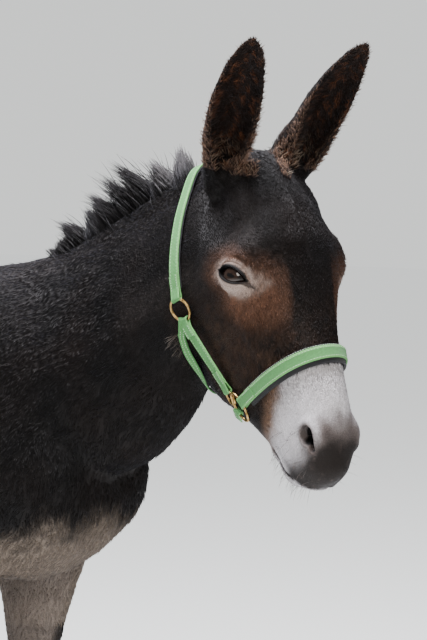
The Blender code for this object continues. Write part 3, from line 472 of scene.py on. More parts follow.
def shape_lids(points, side):
    """The points near one eye, moved out or in to the lids' height over the eyeball."""
    gaze = eye_axes(side)[0]
    outside, a, b, c = eye_opening(points, side)
    flat = np.hypot(a / 1.15, b)
    near = (c > 0) & (flat < 0.040)
    ball = np.sqrt(np.maximum(EYE_BALL ** 2 - a ** 2 - b ** 2, 0))
    lid = np.sqrt(np.maximum((EYE_BALL + LID_THICK) ** 2 - (flat * 0.84) ** 2, 0))
    lid += 0.0009 * ridge(outside, 0.0022, 0.0014)
    upper = smooth(-0.002, 0.004, b)
    lid -= 0.0016 * upper * ridge(outside, 0.0068, 0.0016)
    lid += 0.0016 * upper * smooth(0.007, 0.012, outside) * smooth(0.026, 0.016, outside)
    lid -= 0.0011 * (1 - upper) * ridge(outside, 0.0062, 0.0014)
    lid -= 0.0007 * (1 - upper) * ridge(outside, 0.0112, 0.0016)
    # the inner corner runs on as a furrow towards the nose, and the outer one as a crease
    furrow = ridge(b + 0.12 * (a - 0.021), 0, 0.0019)
    lid -= 0.0026 * furrow * smooth(0.019, 0.023, a) * smooth(0.038, 0.030, a)
    crease = ridge(b - 0.35 * (a + 0.024), 0, 0.0017)
    lid -= 0.0018 * crease * smooth(-0.022, -0.026, a) * smooth(-0.037, -0.031, a)
    behind = np.minimum(ball, lid) - OPENING_DEPTH
    wanted = behind + (lid - behind) * smooth(-0.0006, 0.0007, outside)
    share = smooth(0.0345, 0.0235, flat) * near
    moved = points + gaze * ((wanted - c) * share)[:, None]
    return np.where(near[:, None], moved, points)


places = points_of(skin)
for s, _ in SIDES:
    places = shape_lids(places, s)
set_points(skin, places)

# %% Nostrils
NOSTRIL_DEPTH, NOSTRIL_RIM = 0.016, 0.0024


def in_nostril(points, side):
    """Distance outside the comma of the nostril, and the place along the slit and across it."""
    along, across, out = head_place(points)
    slit, over = along - NOSTRIL[0], out - NOSTRIL[2]
    bulb = np.hypot((slit + 0.0080) / 1.15, over + 0.0005) - 0.0134
    curve = over + 6.0 * slit ** 2 - 0.0015
    tail = np.hypot(curve, np.maximum(slit - 0.0150, 0)) - 0.0068 + 0.14 * np.maximum(slit, 0)
    tail = np.maximum(tail, -slit - 0.008)
    return np.minimum(bulb, tail) + 10 * (across * side < 0.02), slit, over


places = points_of(skin)
for s, _ in SIDES:
    way = unit(head_left * s * 0.86 + head_along * 0.40 + head_out * 0.30)
    outside, slit, over = in_nostril(places, s)
    depth = NOSTRIL_DEPTH * smooth(0.0016, -0.0044, outside)
    rim = NOSTRIL_RIM * ridge(outside, 0.0034, 0.0030) * (0.45 + 0.55 * smooth(-0.004, 0.006, over))
    places += way * ((rim - depth) * (np.hypot(slit, over) < 0.037))[:, None]
set_points(skin, places)

# %% Mouth
MOUTH_CORNER = 0.437


def mouth_gap(points):
    """Height above the line between the lips, and how much of it there is at this place."""
    along, _, out = head_place(points)
    line = -0.156 + 0.34 * (along - 0.438) + 1.75 * np.maximum(along - 0.482, 0) ** 1.5
    present = smooth(MOUTH_CORNER, MOUTH_CORNER + 0.012, along) * in_head(points)
    return out - line, present


places, facing = points_of(skin), normals_of(skin)
above, present = mouth_gap(places)
groove = 0.0058 * ridge(above, 0, 0.0019) - 0.0016 * ridge(above, 0.0052, 0.0034)
groove -= 0.0012 * ridge(above, -0.0046, 0.0030)
along, side, out = head_place(places)
crease = ridge(out + 0.133 + 1.4 * (along - 0.405), 0, 0.0040) * smooth(0.385, 0.400, along)
crease *= smooth(0.432, 0.418, along) * in_head(places) * (np.abs(side) > 0.02)
set_points(skin, places - facing * (groove * present + 0.0022 * crease)[:, None])
apply_modifier(skin, "SMOOTH", factor=0.25, iterations=1)
print("face shaped")

# %% [markdown]
# ## Camera, light and floor
# The camera stands at the donkey's right front at eye height, far off with a long lens. The light
# is a soft overcast: a pale surround, a large soft panel overhead and a smaller one ahead.

# %% Camera
VIEW_TURN = math.radians(52)
view_ahead = np.array([math.sin(VIEW_TURN), math.cos(VIEW_TURN), 0])
view_right = np.array([math.cos(VIEW_TURN), -math.sin(VIEW_TURN), 0])
CAMERA_FAR, CAMERA_SIDE, CAMERA_HEIGHT = 4.05, 0.4017, 1.28
MEASURED_POLL = np.array([-0.012, -0.630, 1.296])  # the poll that those distances were solved for
LENS, SENSOR, HORIZON = 129.6, 36, 9.0  # millimetres. Eye level lies HORIZON above the sensor's middle
camera_data = bpy.data.cameras.new("camera")
camera_data.lens = LENS
camera_data.sensor_width = SENSOR
camera_data.clip_end = 60
camera = new_object("camera", camera_data)
stand = view_right * CAMERA_SIDE - view_ahead * CAMERA_FAR + upward * CAMERA_HEIGHT
camera.location = stand + poll - MEASURED_POLL
dip = math.atan(HORIZON / LENS)
sight = Vector(view_ahead * math.cos(dip) - upward * math.sin(dip))
camera.rotation_euler = sight.to_track_quat("-Z", "Y").to_euler()
bpy.context.scene.camera = camera

# %% Floor and light
floor = new_shape(bpy.ops.mesh.primitive_plane_add, "studio_floor", size=40, location=(0, 0, 0))
floor_paint, tree, shader = new_material(
    "pale_floor_paint", Base_Color="#E4E5E2", Roughness=0.9, Emission_Color="#E9EBEA"
)
# far floor as bright to the eye as the wall, with no more light thrown up at the belly
seen = add_node(tree, "LightPath")
tree.links.new(seen.outputs["Is Camera Ray"], shader.inputs["Emission Strength"])
floor.data.materials.append(floor_paint)

world = bpy.data.worlds.new("studio")
bpy.context.scene.world = world
world.use_nodes = True
tree = world.node_tree
backdrop = tree.nodes["Background"]
backdrop.inputs["Color"].default_value = (*linear("#E6E9EE"), 1)
backdrop.inputs["Strength"].default_value = 0.23
# the eye sees a bright seamless wall, while the fill that the wall gives stays low
seen = add_node(tree, "LightPath")
wall = add_node(tree, "Background", Color="#E9EBEA", Strength=1.22)
either = add_node(tree, "MixShader", Fac=seen.outputs["Is Camera Ray"])
for place, source in enumerate((backdrop, wall), 1):
    tree.links.new(source.outputs["Background"], either.inputs[place])
tree.links.new(either.outputs["Shader"], tree.nodes["World Output"].inputs["Surface"])


def soft_panel(name, place, target, size, watts, colour):
    data = bpy.data.lights.new(name, "AREA")
    data.shape = "DISK"
    data.size, data.energy, data.color = size, watts, linear(colour)
    lamp = new_object(name, data)
    lamp.location = place
    lamp.rotation_euler = (target - Vector(place)).to_track_quat("-Z", "Y").to_euler()


chest = Vector((0, -0.35, 0.95))
soft_panel("overhead_panel", (-0.5, -0.2, 4.0), chest, 2.4, 440, "#F7F8FF")
soft_panel("front_panel", (-2.6, -3.4, 2.6), chest, 2.0, 85, "#FFF8EE")

# %% [markdown]
# ## Markings, with painted highlights and shade
# The coat is almost black, browner on the cheeks. Round each eye lies a cream patch with a tan
# edge, the muzzle is pale grey and darker between nostrils and lips, and the underside and the
# inner legs are beige. On top of these, painted highlights lighten the upward-facing coat and
# the temples, and painted shade darkens the furrow from each inner eye corner and the inside of
# the nostrils. One function gives this colour at any place, so skin and coat agree.

# %% Gentle noise
def ripple(points, size, seed):
    """A smooth wavering between about -1 and 1, whose swells are about size across."""
    draw = np.random.default_rng(seed)
    total = np.zeros(len(points))
    for _ in range(7):
        way = unit(draw.normal(size=3)) * (2 * math.pi / size) * draw.uniform(0.6, 1.5)
        total += np.sin(points @ way + draw.uniform(0, 6.3))
    return total / 3.2


# %% The colour of the coat at any place
COAT_DARK, COAT_WARM, PAINTED_TOP_HIGHLIGHT = "#0C0A0A", "#1A120F", "#343031"
EYE_PALE, EYE_TAN, RIM_DARK = "#AF9D93", "#6B4A38", "#0C0908"
MUZZLE_PALE, MUZZLE_TAN, MUZZLE_DARK, LIP_DARK = "#CFCBCD", "#775C49", "#584D49", "#1B1512"
BELLY_PALE, LEG_PALE = "#85786C", "#82776F"
EAR_RUST, EAR_EDGE, EAR_BROWN = "#22150F", "#0D0A09", "#33251E"
CHEEK_BROWN, TEMPLE_HIGHLIGHT_GREY, LID_SHADE, EYE_FURROW_SHADE = "#3B2A1F", "#3E3836", "#6A5448", "#2C2421"
MUZZLE_FLECK, NOSE_GREY, NOSTRIL_PIT_SHADE = "#A29C9D", "#B9B6B9", "#080606"


def eye_ring(points):
    """Distance from the middle of the cream patch, 1 at its edge, and the pull of the tan below it."""
    along, side, out = head_place(points)
    u, v = along - EYE_ALONG, out + EYE_DEPTH
    a, b = u * 0.50 + v * 0.87 + 0.0085, u * 0.87 - v * 0.50 - 0.0100
    ring = np.hypot(a / 0.0573, b / 0.0318) + 0.28 * smooth(0.0, -0.030, a) * smooth(0.0, 0.020, b)
    ring += 2.5 * smooth(0.050, 0.016, np.abs(side))
    lobe = smooth(0.25, 1.0, (b + 0.30 * a) / np.maximum(np.hypot(a, b), 1e-6))
    return ring, lobe


def colour_with_painted_light(points, facing):
    """Linear colour of the animal at each point, with its painted highlights and shade, from its place and
    the way the surface faces.
    """
    x, y, z = points.T
    along, side, out = head_place(points)
    head = in_head(points)
    broad, middling, fine = (ripple(points, *swell) for swell in ((0.12, 11), (0.035, 14), (0.012, 12)))
    colour = np.tile(linear(COAT_DARK), (len(points), 1))

    def paint(code, share):
        colour[:] = blend(colour, linear(code), np.clip(share, 0, 1))

    paint(COAT_WARM, 0.25 + 0.25 * broad)
    cheek = head * smooth(0.14, 0.25, along) * smooth(0.02, -0.05, out) * (1 - smooth(0.34, 0.39, along))
    cheek *= smooth(-0.252, -0.222, out)
    paint(CHEEK_BROWN, cheek * (0.60 + 0.30 * middling + 0.25 * fine))
    # painted highlight: the coat of the neck and body is lightened towards grey where it faces up to the
    # overhead light
    paint(PAINTED_TOP_HIGHLIGHT, 0.40 * smooth(0.1, 1.0, facing[:, 2]) * smooth(-0.55, -0.40, y))
    # painted highlight: a soft grey sheen on the temples above the eyes
    lit_temple = head * smooth(0.10, 0.14, along) * smooth(0.19, 0.15, along)
    paint(TEMPLE_HIGHLIGHT_GREY, lit_temple * smooth(0.06, 0.085, np.abs(side)) * (0.30 + 0.15 * fine))

    # beige underside and inner legs
    breast = smooth(-0.10, -0.25, y + 0.10) * (z > 0.5)
    level = 0.620 + 0.034 * breast + 0.016 * broad + 0.008 * middling
    under = smooth(0.045, -0.030, z - level) * smooth(0.75, 0.05, facing[:, 2]) * (z > 0.45)
    paint(BELLY_PALE, 0.85 * under * smooth(0.21, 0.15, np.abs(x)))
    inward = smooth(-0.30, 0.45, -facing[:, 0] * np.sign(x)) * (np.abs(x) > 0.02)
    paint(LEG_PALE, 0.80 * smooth(0.64, 0.58, z) * smooth(0.16, 0.34, z) * inward * (0.85 + 0.15 * fine))

    # tan, then cream, then the dark rims of the lids
    ring, lobe = eye_ring(points)
    ring = ring + 0.07 * fine + 0.07 * middling
    tan_edge = 1.42 + 1.05 * lobe
    paint(EYE_TAN, head * (1 - smooth(tan_edge - 0.90, tan_edge + 0.40, ring)) * (0.78 + 0.18 * fine))
    paint(EYE_PALE, head * (1 - smooth(0.60, 1.12, ring)) * (0.88 + 0.12 * middling))
    for s, _ in SIDES:
        outside, a, b, c = eye_opening(points, s)
        ahead = (c > 0) * head
        paint(LID_SHADE, ahead * smooth(0.0120, 0.0050, outside) * smooth(-0.002, 0.004, b) * 0.55)
        paint(RIM_DARK, ahead * smooth(0.0048, 0.0020, outside - 0.0014 * (b > 0)))
        # painted shade along the furrow that runs from the inner corner of the eye towards the nose
        from_furrow_shade = np.hypot((a - 0.030) / 0.015, (b + 0.0044) / 0.0040)
        paint(EYE_FURROW_SHADE, ahead * smooth(1.3, 0.6, from_furrow_shade) * 0.85)

    # pale muzzle, dark between the nostrils and on the lips
    start = 0.357 + 0.95 * np.maximum(-out - 0.074, 0) + 0.003 * fine + 0.003 * middling
    past = along - start
    low = smooth(-0.050, -0.095, out)
    paint(MUZZLE_TAN, head * low * smooth(-0.050, -0.006, past) * (0.8 + 0.15 * fine))
    paint(MUZZLE_PALE, head * smooth(-0.003 - 0.008 * low, 0.005 + 0.030 * low, past))
    paint(MUZZLE_FLECK, head * (0.20 + 0.25 * ripple(points, 0.007, 15)) * smooth(0.0, 0.020, past))
    paint(NOSE_GREY, head * smooth(0.40, 0.47, along) * smooth(0.3, -0.5, facing @ head_out) * 0.6)
    between = smooth(0.425, 0.468, along + 0.010 * middling) * smooth(0.056, 0.036, np.abs(side))
    paint(MUZZLE_DARK, head * between * smooth(-0.095, -0.060, out) * 0.92)
    above, present = mouth_gap(points)
    front = smooth(0.462, 0.496, along + 0.10 * (out + 0.07) + 0.006 * middling)
    paint(LIP_DARK, head * front * smooth(0.058, 0.040, np.abs(side)) * 0.97 * smooth(-0.005, 0.002, above))
    paint(LIP_DARK, present * smooth(0.0065, 0.0015, np.abs(above)))
    spots = smooth(0.8, 1.5, ripple(points, 0.006, 13)) * smooth(0.42, 0.45, along)
    paint(MUZZLE_DARK, head * spots * 0.6)
    for s, _ in SIDES:
        hole = in_nostril(points, s)[0]
        paint(MUZZLE_DARK, head * smooth(0.0085, 0.0020, hole) * 0.75)
        # painted shade: near black inside the pit of each nostril
        paint(NOSTRIL_PIT_SHADE, head * smooth(0.0016, -0.0010, hole))

    # ears, rusty inside with dark edges
    for s, _ in SIDES:
        up, across, _ = ear_place(points, s)
        free = on_ear(points, s, 0.06, 0.16)
        inside = smooth(0.05, 0.45, facing @ ear_axes(s)[2]) * free
        paint(EAR_BROWN, free * 0.5 * (1 - smooth(0.15, 0.45, up)))
        paint(EAR_RUST, inside * (0.75 + 0.25 * fine))
        paint(EAR_EDGE, smooth(0.020, 0.034, np.abs(across)) * inside * 0.8)
    return np.clip(colour, 0, 1)


# %% [markdown]
# ## The coat's material
# Short hair is keratin: each hair is smooth along its length, so a dark coat shows a soft, bluish
# sheen from the sky. The colour comes from the markings and the painted highlights and shade among
# them, kept as an attribute on the mesh, with a fine streak of lighter and darker hairs about a
# millimetre wide, as fine as a view of the whole head can show.

# %% Coat material
def put_colour(item, colour):
    layer = item.data.attributes.new("colour_with_painted_light", "FLOAT_COLOR", "POINT")
    full = np.column_stack([colour, np.ones(len(colour))])
    layer.data.foreach_set("color", full.astype(np.float32).ravel())


def hair_material(name, roughness, variation, sheen=0.11, bump=0.0):
    made, tree, shader = new_material(
        name, Roughness=roughness, Sheen_Weight=sheen, Sheen_Roughness=0.32, Sheen_Tint="#A6A6B2",
        IOR=1.5, Specular_IOR_Level=0.18,
    )
    marks = add_node(tree, "Attribute", {"attribute_name": "colour_with_painted_light"})
    streaks = streaks_of(tree, add_node(tree, "TexCoord").outputs["Object"], 650.0, 3.0)
    shade = map_range(tree, streaks, 0.3, 0.7, 1 - variation, 1 + variation)
    tinted = vector_math(tree, "SCALE", "Vector", Vector=marks.outputs["Color"], Scale=shade)
    finish_surface(tree, shader, tinted, streaks if bump else None, bump, 0.0012)
    return made


skin_surface = hair_material("short_hair_on_skin", 0.60, 0.35, bump=0.6)
coat_surface = hair_material("short_coat_hair", 0.52, 0.25)
skin.data.materials.clear()
skin.data.materials.append(skin_surface)
put_colour(skin, colour_with_painted_light(points_of(skin), normals_of(skin)))
only(skin)
bpy.ops.object.shade_smooth()
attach(skin, "root")
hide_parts(*FLESH)

# %% [markdown]
# ## The lie of the coat
# Hair grows along lines: back and down the neck and body, straight down the legs, up the ears.
# On the face it parts at a whorl between the eyes, up towards the ears and down to the muzzle, and
# fans out round each eye.

# %% Which way the hair lies
def turned(way, facing, angle):
    """Each way, turned by its angle while it stays in the skin."""
    return way * np.cos(angle)[:, None] + np.cross(facing, way) * np.sin(angle)[:, None]


def hair_way(points, facing):
    x, y, z = points.T
    along, side, out = head_place(points)
    flank = np.abs(facing[:, 0])
    way = np.stack([0 * x, 0.9 - 0.25 * flank, -0.25 - 0.65 * flank], 1)
    # down the neck, the breast, the legs and the tail
    for share, lie in (
        (smooth(-0.16, -0.32, y) * (z > 0.62), (0, 0.72, -0.70)),
        (smooth(-0.20, -0.34, y) * smooth(0.92, 0.78, z) * (z > 0.55), (0, 0.25, -0.95)),
        (smooth(0.60, 0.50, z) * (np.abs(x) > 0.03), (0, 0.12, -1.0)),
        ((y > 0.80) * (z < 1.0) * (np.abs(x) < 0.05), (0, 0.05, -1.0)),
    ):
        way = blend(way, lie, share)

    down = smooth(0.150, 0.215, along + 0.5 * np.maximum(-out - 0.02, 0))
    brow = -head_along + head_left * (np.sign(side) * 0.55)[:, None]
    cheek = smooth(-0.03, -0.12, out)[:, None]
    face = head_along + head_left * (side * 4.0)[:, None] - head_out * (0.15 + 0.75 * cheek)
    swept = blend(brow, face, down)
    swept = blend(swept, head_along * 0.35 - head_out * 0.9, smooth(-0.10, -0.20, out))
    way = blend(way, swept, in_head(points))
    for s, _ in SIDES:
        away = points - eye_seat[s]
        gaze, corner, _ = eye_axes(s)
        fan = unit(away - np.outer(away @ gaze, gaze)) - corner * 0.35
        way = blend(way, fan, 0.8 * near_eye(points, s, 0.024, 0.064))
        _, rise, _, over = ear_axes(s)
        lift = rise + np.outer(np.sign(ear_place(points, s)[1]), over) * 0.25
        way = blend(way, lift, on_ear(points, s, 0.02, 0.12))

    way = unit(way - facing * np.sum(way * facing, 1, keepdims=True))
    return unit(turned(way, facing, 0.30 * ripple(points, 0.05, 21) + 0.16 * ripple(points, 0.012, 22)))


# %% [markdown]
# ## Where each tuft grows
# A tuft is a few dozen real hairs that lie together. Thousands of roots are drawn at random over
# the skin, close together on the face and further apart on the body. Each root also gets a place
# on a flat unwrap of a lighter copy of the skin.

# %% A light unwrapped copy of the skin
CHART_FACES = 9000
chart = new_object("unwrap_chart", skin.data.copy())
apply_modifier(chart, "DECIMATE", ratio=CHART_FACES / len(skin.data.polygons))
apply_modifier(chart, "TRIANGULATE")
in_edit(chart, bpy.ops.uv.smart_project, angle_limit=math.radians(66), island_margin=0.002)
chart_points = points_of(chart)
chart_faces = read(chart.data.loops, "vertex_index", 1, np.int32).reshape(-1, 3)
chart_uv = read(chart.data.uv_layers.active.data, "uv", 2).reshape(-1, 3, 2).astype(float)
chart_tree = BVHTree.FromPolygons([Vector(p) for p in chart_points], chart_faces.tolist())
bpy.data.objects.remove(chart)
print("unwrap of", len(chart_faces), "faces")


def on_chart(points):
    """The place of each point on the unwrap."""
    index = np.array([chart_tree.find_nearest(p)[2] for p in points.tolist()])
    a, b, c = (chart_points[chart_faces[index, k]] for k in range(3))
    normal = np.cross(b - a, c - a)
    size = np.maximum(np.sum(normal * normal, 1), 1e-18)
    u = np.sum(np.cross(c - b, points - b) * normal, 1) / size
    v = np.sum(np.cross(a - c, points - c) * normal, 1) / size
    u, v = np.clip(u, 0, 1), np.clip(v, 0, 1)
    w = np.clip(1 - u - v, 0, 1)
    share = np.stack([u, v, w], 1) / np.maximum(u + v + w, 1e-9)[:, None]
    return np.sum(chart_uv[index] * share[:, :, None], 1)


# %% Roots over the skin
skin.data.calc_loop_triangles()
corners = read(skin.data.loop_triangles, "vertices", 3, np.int32)
skin_points, skin_facing = points_of(skin), normals_of(skin)
tri = skin_points[corners]
tri_way = np.cross(tri[:, 1] - tri[:, 0], tri[:, 2] - tri[:, 0])
areas = np.linalg.norm(tri_way, axis=1) / 2
middles = tri.mean(1)
print("skin triangles:", len(corners), "area:", round(areas.sum(), 3), "m2")


def bare(points):
    """1 where no coat grows: between the lids, in the nostrils and on the lips' edges."""
    above, present = mouth_gap(points)
    found = present * (np.abs(above) < 0.0018)
    for s, _ in SIDES:
        outside, _, _, c = eye_opening(points, s)
        found = np.maximum(found, (outside < 0.0032) & (c > 0.004))
        found = np.maximum(found, in_nostril(points, s)[0] < 0.0016)
    return found * (in_head(points) > 0.1)


def random_places(draw, wanted, count):
    """Random triangles in proportion to wanted, and a place in each as shares of its corners."""
    chosen = np.searchsorted(np.cumsum(wanted), draw.uniform(0, wanted.sum(), count))
    return np.clip(chosen, 0, len(corners) - 1), draw.dirichlet((1, 1, 1), count)[:, :, None]


# %% Joined tufts as one mesh
def mesh_piece(name, points, faces, colour, uv, material, smooth_faces=False):
    mesh = bpy.data.meshes.new(name)
    mesh.vertices.add(len(points))
    mesh.vertices.foreach_set("co", np.asarray(points, np.float32).ravel())
    mesh.loops.add(faces.size)
    mesh.loops.foreach_set("vertex_index", faces.astype(np.int32).ravel())
    mesh.polygons.add(len(faces))
    starts = np.arange(0, faces.size, faces.shape[1], dtype=np.int32)
    mesh.polygons.foreach_set("loop_start", starts)
    mesh.update(calc_edges=True)
    layer = mesh.uv_layers.new(name="OFBake")
    layer.data.foreach_set("uv", np.asarray(uv[faces.ravel()], np.float32).ravel())
    if smooth_faces:
        mesh.polygons.foreach_set("use_smooth", np.ones(len(faces), bool))
    made = new_object(name, mesh)
    mesh.materials.append(material)
    put_colour(made, colour)
    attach(made, "root")
    return made


TUFT_FACES = np.array([[0, 1, 2], [0, 3, 1], [1, 3, 2], [2, 3, 0]])
PATCH = 0.0012
ROOT_SHADE, TIP_SHADE = 0.80, 1.10


def tufts(places, facing, way, length, width, lift, droop):
    """Four points for each tuft: two at its root, one on its ridge and its tip."""
    side = np.cross(facing, way)
    lead = way * np.cos(lift)[:, None] + facing * np.sin(lift)[:, None]
    root = places - facing * 0.0006
    half = side * (width / 2)[:, None]
    ridge = root + lead * (length * 0.40)[:, None] + facing * (width * 0.20 + 0.0002)[:, None]
    tip = root + lead * length[:, None] - facing * (length * droop)[:, None]
    return np.stack([root + half, root - half, ridge, tip], 1)


def tuft_piece(name, chosen, points, colour, uv, material):
    count = len(chosen)
    quads = points[chosen].reshape(-1, 3)
    faces = (TUFT_FACES[None] + 4 * np.arange(count)[:, None, None]).reshape(-1, 3)
    shade = np.repeat(colour[chosen], 4, 0)
    shade[3::4] *= TIP_SHADE
    shade[0::4] *= ROOT_SHADE
    shade[1::4] *= ROOT_SHADE
    spread = np.array([[-PATCH, -PATCH], [PATCH, -PATCH], [0, 0], [0, PATCH]])
    flat = (uv[chosen][:, None] + spread[None]).reshape(-1, 2)
    return mesh_piece(name, quads, faces, np.clip(shade, 0, 1), flat, material)


# %% Grow the short coat
head, ear = in_head(middles), in_ear(middles)
density = 76000 + 215000 * (head * (1 - ear)) + 120000 * ear  # tufts a square metre
draw = np.random.default_rng(31)
wanted = areas * density
chosen, share = random_places(draw, wanted, int(wanted.sum()))
roots = np.sum(tri[chosen] * share, 1)
facing = unit(np.sum(skin_facing[corners[chosen]] * share, 1))
keep = bare(roots) < 0.5
roots, facing = roots[keep], facing[keep]

head_share = in_head(roots)
along, side, out = head_place(roots)
muzzle_share = head_share * smooth(0.35, 0.44, along)
length = blend(0.0185, 0.0078, head_share)
for here, share in ((0.0095, in_leg(roots)), (0.0075, in_ear(roots)), (0.0034, muzzle_share)):
    length = blend(length, here, share)
width = blend(blend(0.0017, 0.0011, head_share), 0.0009, muzzle_share)
for s, _ in SIDES:
    close = near_eye(roots, s, 0.022, 0.050)
    length, width = blend(length, 0.0030, close), blend(width, 0.0008, close)
way = turned(hair_way(roots, facing), facing, draw.normal(0, 0.10, len(roots)))
length *= draw.uniform(0.7, 1.25, len(roots))
width *= draw.uniform(0.75, 1.25, len(roots))
lift = np.abs(draw.normal(0.22, 0.06, len(roots))) + 0.09 * head_share * (1 - muzzle_share)
shapes = tufts(roots, facing, way, length, width, lift, 0.10)
first, second, third = (shapes[:, k] - shapes[:, 0] for k in (1, 2, 3))
sign = np.sum(np.cross(first, second) * third, 1)
print("tufts:", len(roots), "facing in:", int((sign > 0).sum()))
shade = colour_with_painted_light(roots, facing) * draw.lognormal(0, 0.17 + 0.15 * head_share)[:, None]
root_uv = on_chart(roots)

# %% Part the coat into pieces
JAW_FROM = -0.09
_, y, z = roots.T
ears = in_ear(roots) > 0.3
head = (in_head(roots) > 0.5) & ~ears
legs = (z < 0.55) & ~ears
neck = (y < -0.235) & ~head & ~ears & ~legs
body = ~(ears | head | legs | neck)
lots = {
    "coat_ears": ears,
    "coat_face_right": head & (side < 0) & (out > JAW_FROM),
    "coat_face_left": head & (side >= 0) & (out > JAW_FROM),
    "coat_jaw_right": head & (side < 0) & (out <= JAW_FROM),
    "coat_jaw_left": head & (side >= 0) & (out <= JAW_FROM),
    "coat_forelegs": legs & (y < 0.3),
    "coat_hindlegs": legs & (y >= 0.3),
    "coat_neck": neck,
    "coat_shoulder": body & (y < 0.05),
    "coat_barrel": body & (y >= 0.05) & (y < 0.38),
    "coat_loin": body & (y >= 0.38) & (y < 0.62),
    "coat_rump": body & (y >= 0.62),
}
for name, chosen in lots.items():
    chosen = np.flatnonzero(chosen)
    tuft_piece(name, chosen, shapes, shade, root_uv, coat_surface)
    print(name, 4 * len(chosen), "triangles")

# %% [markdown]
# ## Long hair
# The mane stands up in clumps with wispy, lighter ends, the tail ends in a switch, and finer hair
# fringes the ears and the edge of the jaw. Each strand is a tapering, three-sided tube along a
# curve that starts along its root's way and bends with its clump.

# %% Strands as one mesh
def strand_piece(name, roots, ways, lengths, widths, bends, colour, tip_colour, material, slot, steps=5):
    """Each strand runs along its way, pulled over by its bend, more and more towards its tip."""
    count = len(roots)
    shares = np.linspace(0, 1, steps + 1)
    line = (
        roots[:, None] + ways[:, None] * (lengths[:, None] * shares)[:, :, None]
        + bends[:, None] * (lengths[:, None] * shares ** 2)[:, :, None]
    )
    ahead = unit(np.gradient(line, axis=1))
    side = unit(np.cross(ahead, unit(bends + np.array([0.013, 0.021, 0.017]))[:, None]))
    over = np.cross(side, ahead)
    wide = (widths[:, None] / 2 * (1 - 0.25 * shares - 0.65 * shares ** 3))[:, :, None]
    rings = []
    for turn in range(3):
        angle = 2 * math.pi * turn / 3
        rings.append(line + (side * math.cos(angle) + over * math.sin(angle)) * wide)
    rings = np.stack(rings, 2)[:, :-1]
    points = np.concatenate([rings.reshape(count, -1, 3), line[:, -1:]], 1)
    faces = []
    for k in range(steps - 1):
        for t in range(3):
            a, b = 3 * k + t, 3 * k + (t + 1) % 3
            faces += [(a, b + 3, b), (a, a + 3, b + 3)]
    last = 3 * (steps - 1)
    faces += [(last + (t + 1) % 3, last + t, 3 * steps) for t in range(3)] + [(0, 1, 2)]
    each = points.shape[1]
    faces = (np.array(faces)[None] + each * np.arange(count)[:, None, None]).reshape(-1, 3)
    level = np.concatenate([np.repeat(shares[:-1], 3), [1]])[None, :, None]
    shade = blend(colour[:, None], tip_colour[:, None], level ** 1.6)
    spin = np.array([(math.cos(2.1 * k), math.sin(2.1 * k)) for k in range(each)]) * PATCH
    flat = (on_chart(roots)[:, None] + spin[None]).reshape(-1, 2)
    shade = np.clip(shade.reshape(-1, 3), 0, 1)
    mesh_piece(name, points.reshape(-1, 3), faces, shade, flat, material, True)
    print(name, len(roots), "strands", len(faces), "triangles")


def shades(draw, code, count, spread=0.22):
    return np.array(linear(code)) * draw.lognormal(0, spread, count)[:, None]


def two_shades(draw, first, second, share, spread=0.3, second_spread=None):
    """Hair colours that go over from the first shade to the second by share."""
    start = shades(draw, first, len(share), spread)
    return blend(start, shades(draw, second, len(share), second_spread or spread), share)


def scatter(draw, ways, amount):
    return unit(ways + draw.normal(0, amount, ways.shape))


LONG = (hair_material("long_dark_hair", 0.38, 0.15, sheen=0.15), "long_dark_hair")
FRINGE = (hair_material("pale_fringe_hair", 0.50, 0.15), "short_dark_coat")

# %% Mane
skin_tree = BVHTree.FromPolygons([Vector(p) for p in skin_points], corners.tolist())
mane_low, mane_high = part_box("mane")
draw = np.random.default_rng(41)
MANE_HEIGHTS = ((0.0, 0.080), (0.15, 0.088), (0.38, 0.098), (0.58, 0.088), (0.80, 0.056), (1.0, 0.024))
MANE_CLUMP = 0.038  # one lock of the mane, with a gap to the next
MOST_LOCKS = 40
count = 4800
place = draw.uniform(0, 1, count) ** 0.95
mane_y = mane_low.y + 0.003 + (mane_high.y - mane_low.y - 0.030) * place
tall = np.interp(place, *zip(*MANE_HEIGHTS))
mane_x = draw.normal(0, 0.0075, count)
centre_x = np.interp(mane_y, (-0.60, -0.45, -0.30), (-0.0085, -0.003, 0.0))
above_mane = np.stack([centre_x + mane_x, mane_y, np.full(count, 1.40)], 1)
hits = [skin_tree.ray_cast(Vector(p), Vector((0, 0, -1)))[0] for p in above_mane]
roots = np.array([p if hit is None else hit for p, hit in zip(above_mane, hits)])
lock = (mane_y - mane_low.y) / MANE_CLUMP
clump = np.floor(lock + 0.10 * draw.normal(size=count)).astype(int) + 1
lock_draw = np.random.default_rng(42)
lean = lock_draw.normal(0, 1, (MOST_LOCKS, 3)) * np.array([0.12, 0.13, 0.04])
size = lock_draw.uniform(0.78, 1.12, MOST_LOCKS)
gather = clump - 0.5 - lock
stray = draw.uniform(0, 1, count) < 0.10
ways = np.stack([mane_x * 14, 0.50 + 0.10 * gather, np.full(count, 0.86)], 1) + lean[clump] * 0.5
ways = scatter(draw, unit(ways), 0.045) + draw.normal(0, 0.16, (count, 3)) * stray[:, None]
bends = np.stack([-mane_x * 20, gather * 0.44 + 0.20, np.full(count, -0.16)], 1) + lean[clump]
bends = bends + draw.normal(0, 0.035, bends.shape)
lengths = tall * size[clump] * draw.uniform(0.50, 1.12, count) * (1 - 0.30 * np.abs(gather) * 2)
grey = smooth(0.26, 0.08, place)
low_colour = two_shades(draw, "#0D0B0B", "#2C2A2B", grey, 0.22)
tip_colour = two_shades(draw, "#211D1D", "#6B6767", grey, 0.5, 0.4)
strand_piece(
    "mane_hair", roots - np.array([0, 0, 0.004]), ways, lengths, draw.uniform(0.0009, 0.0019, count), bends,
    low_colour, tip_colour, *LONG,
)
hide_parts("mane")

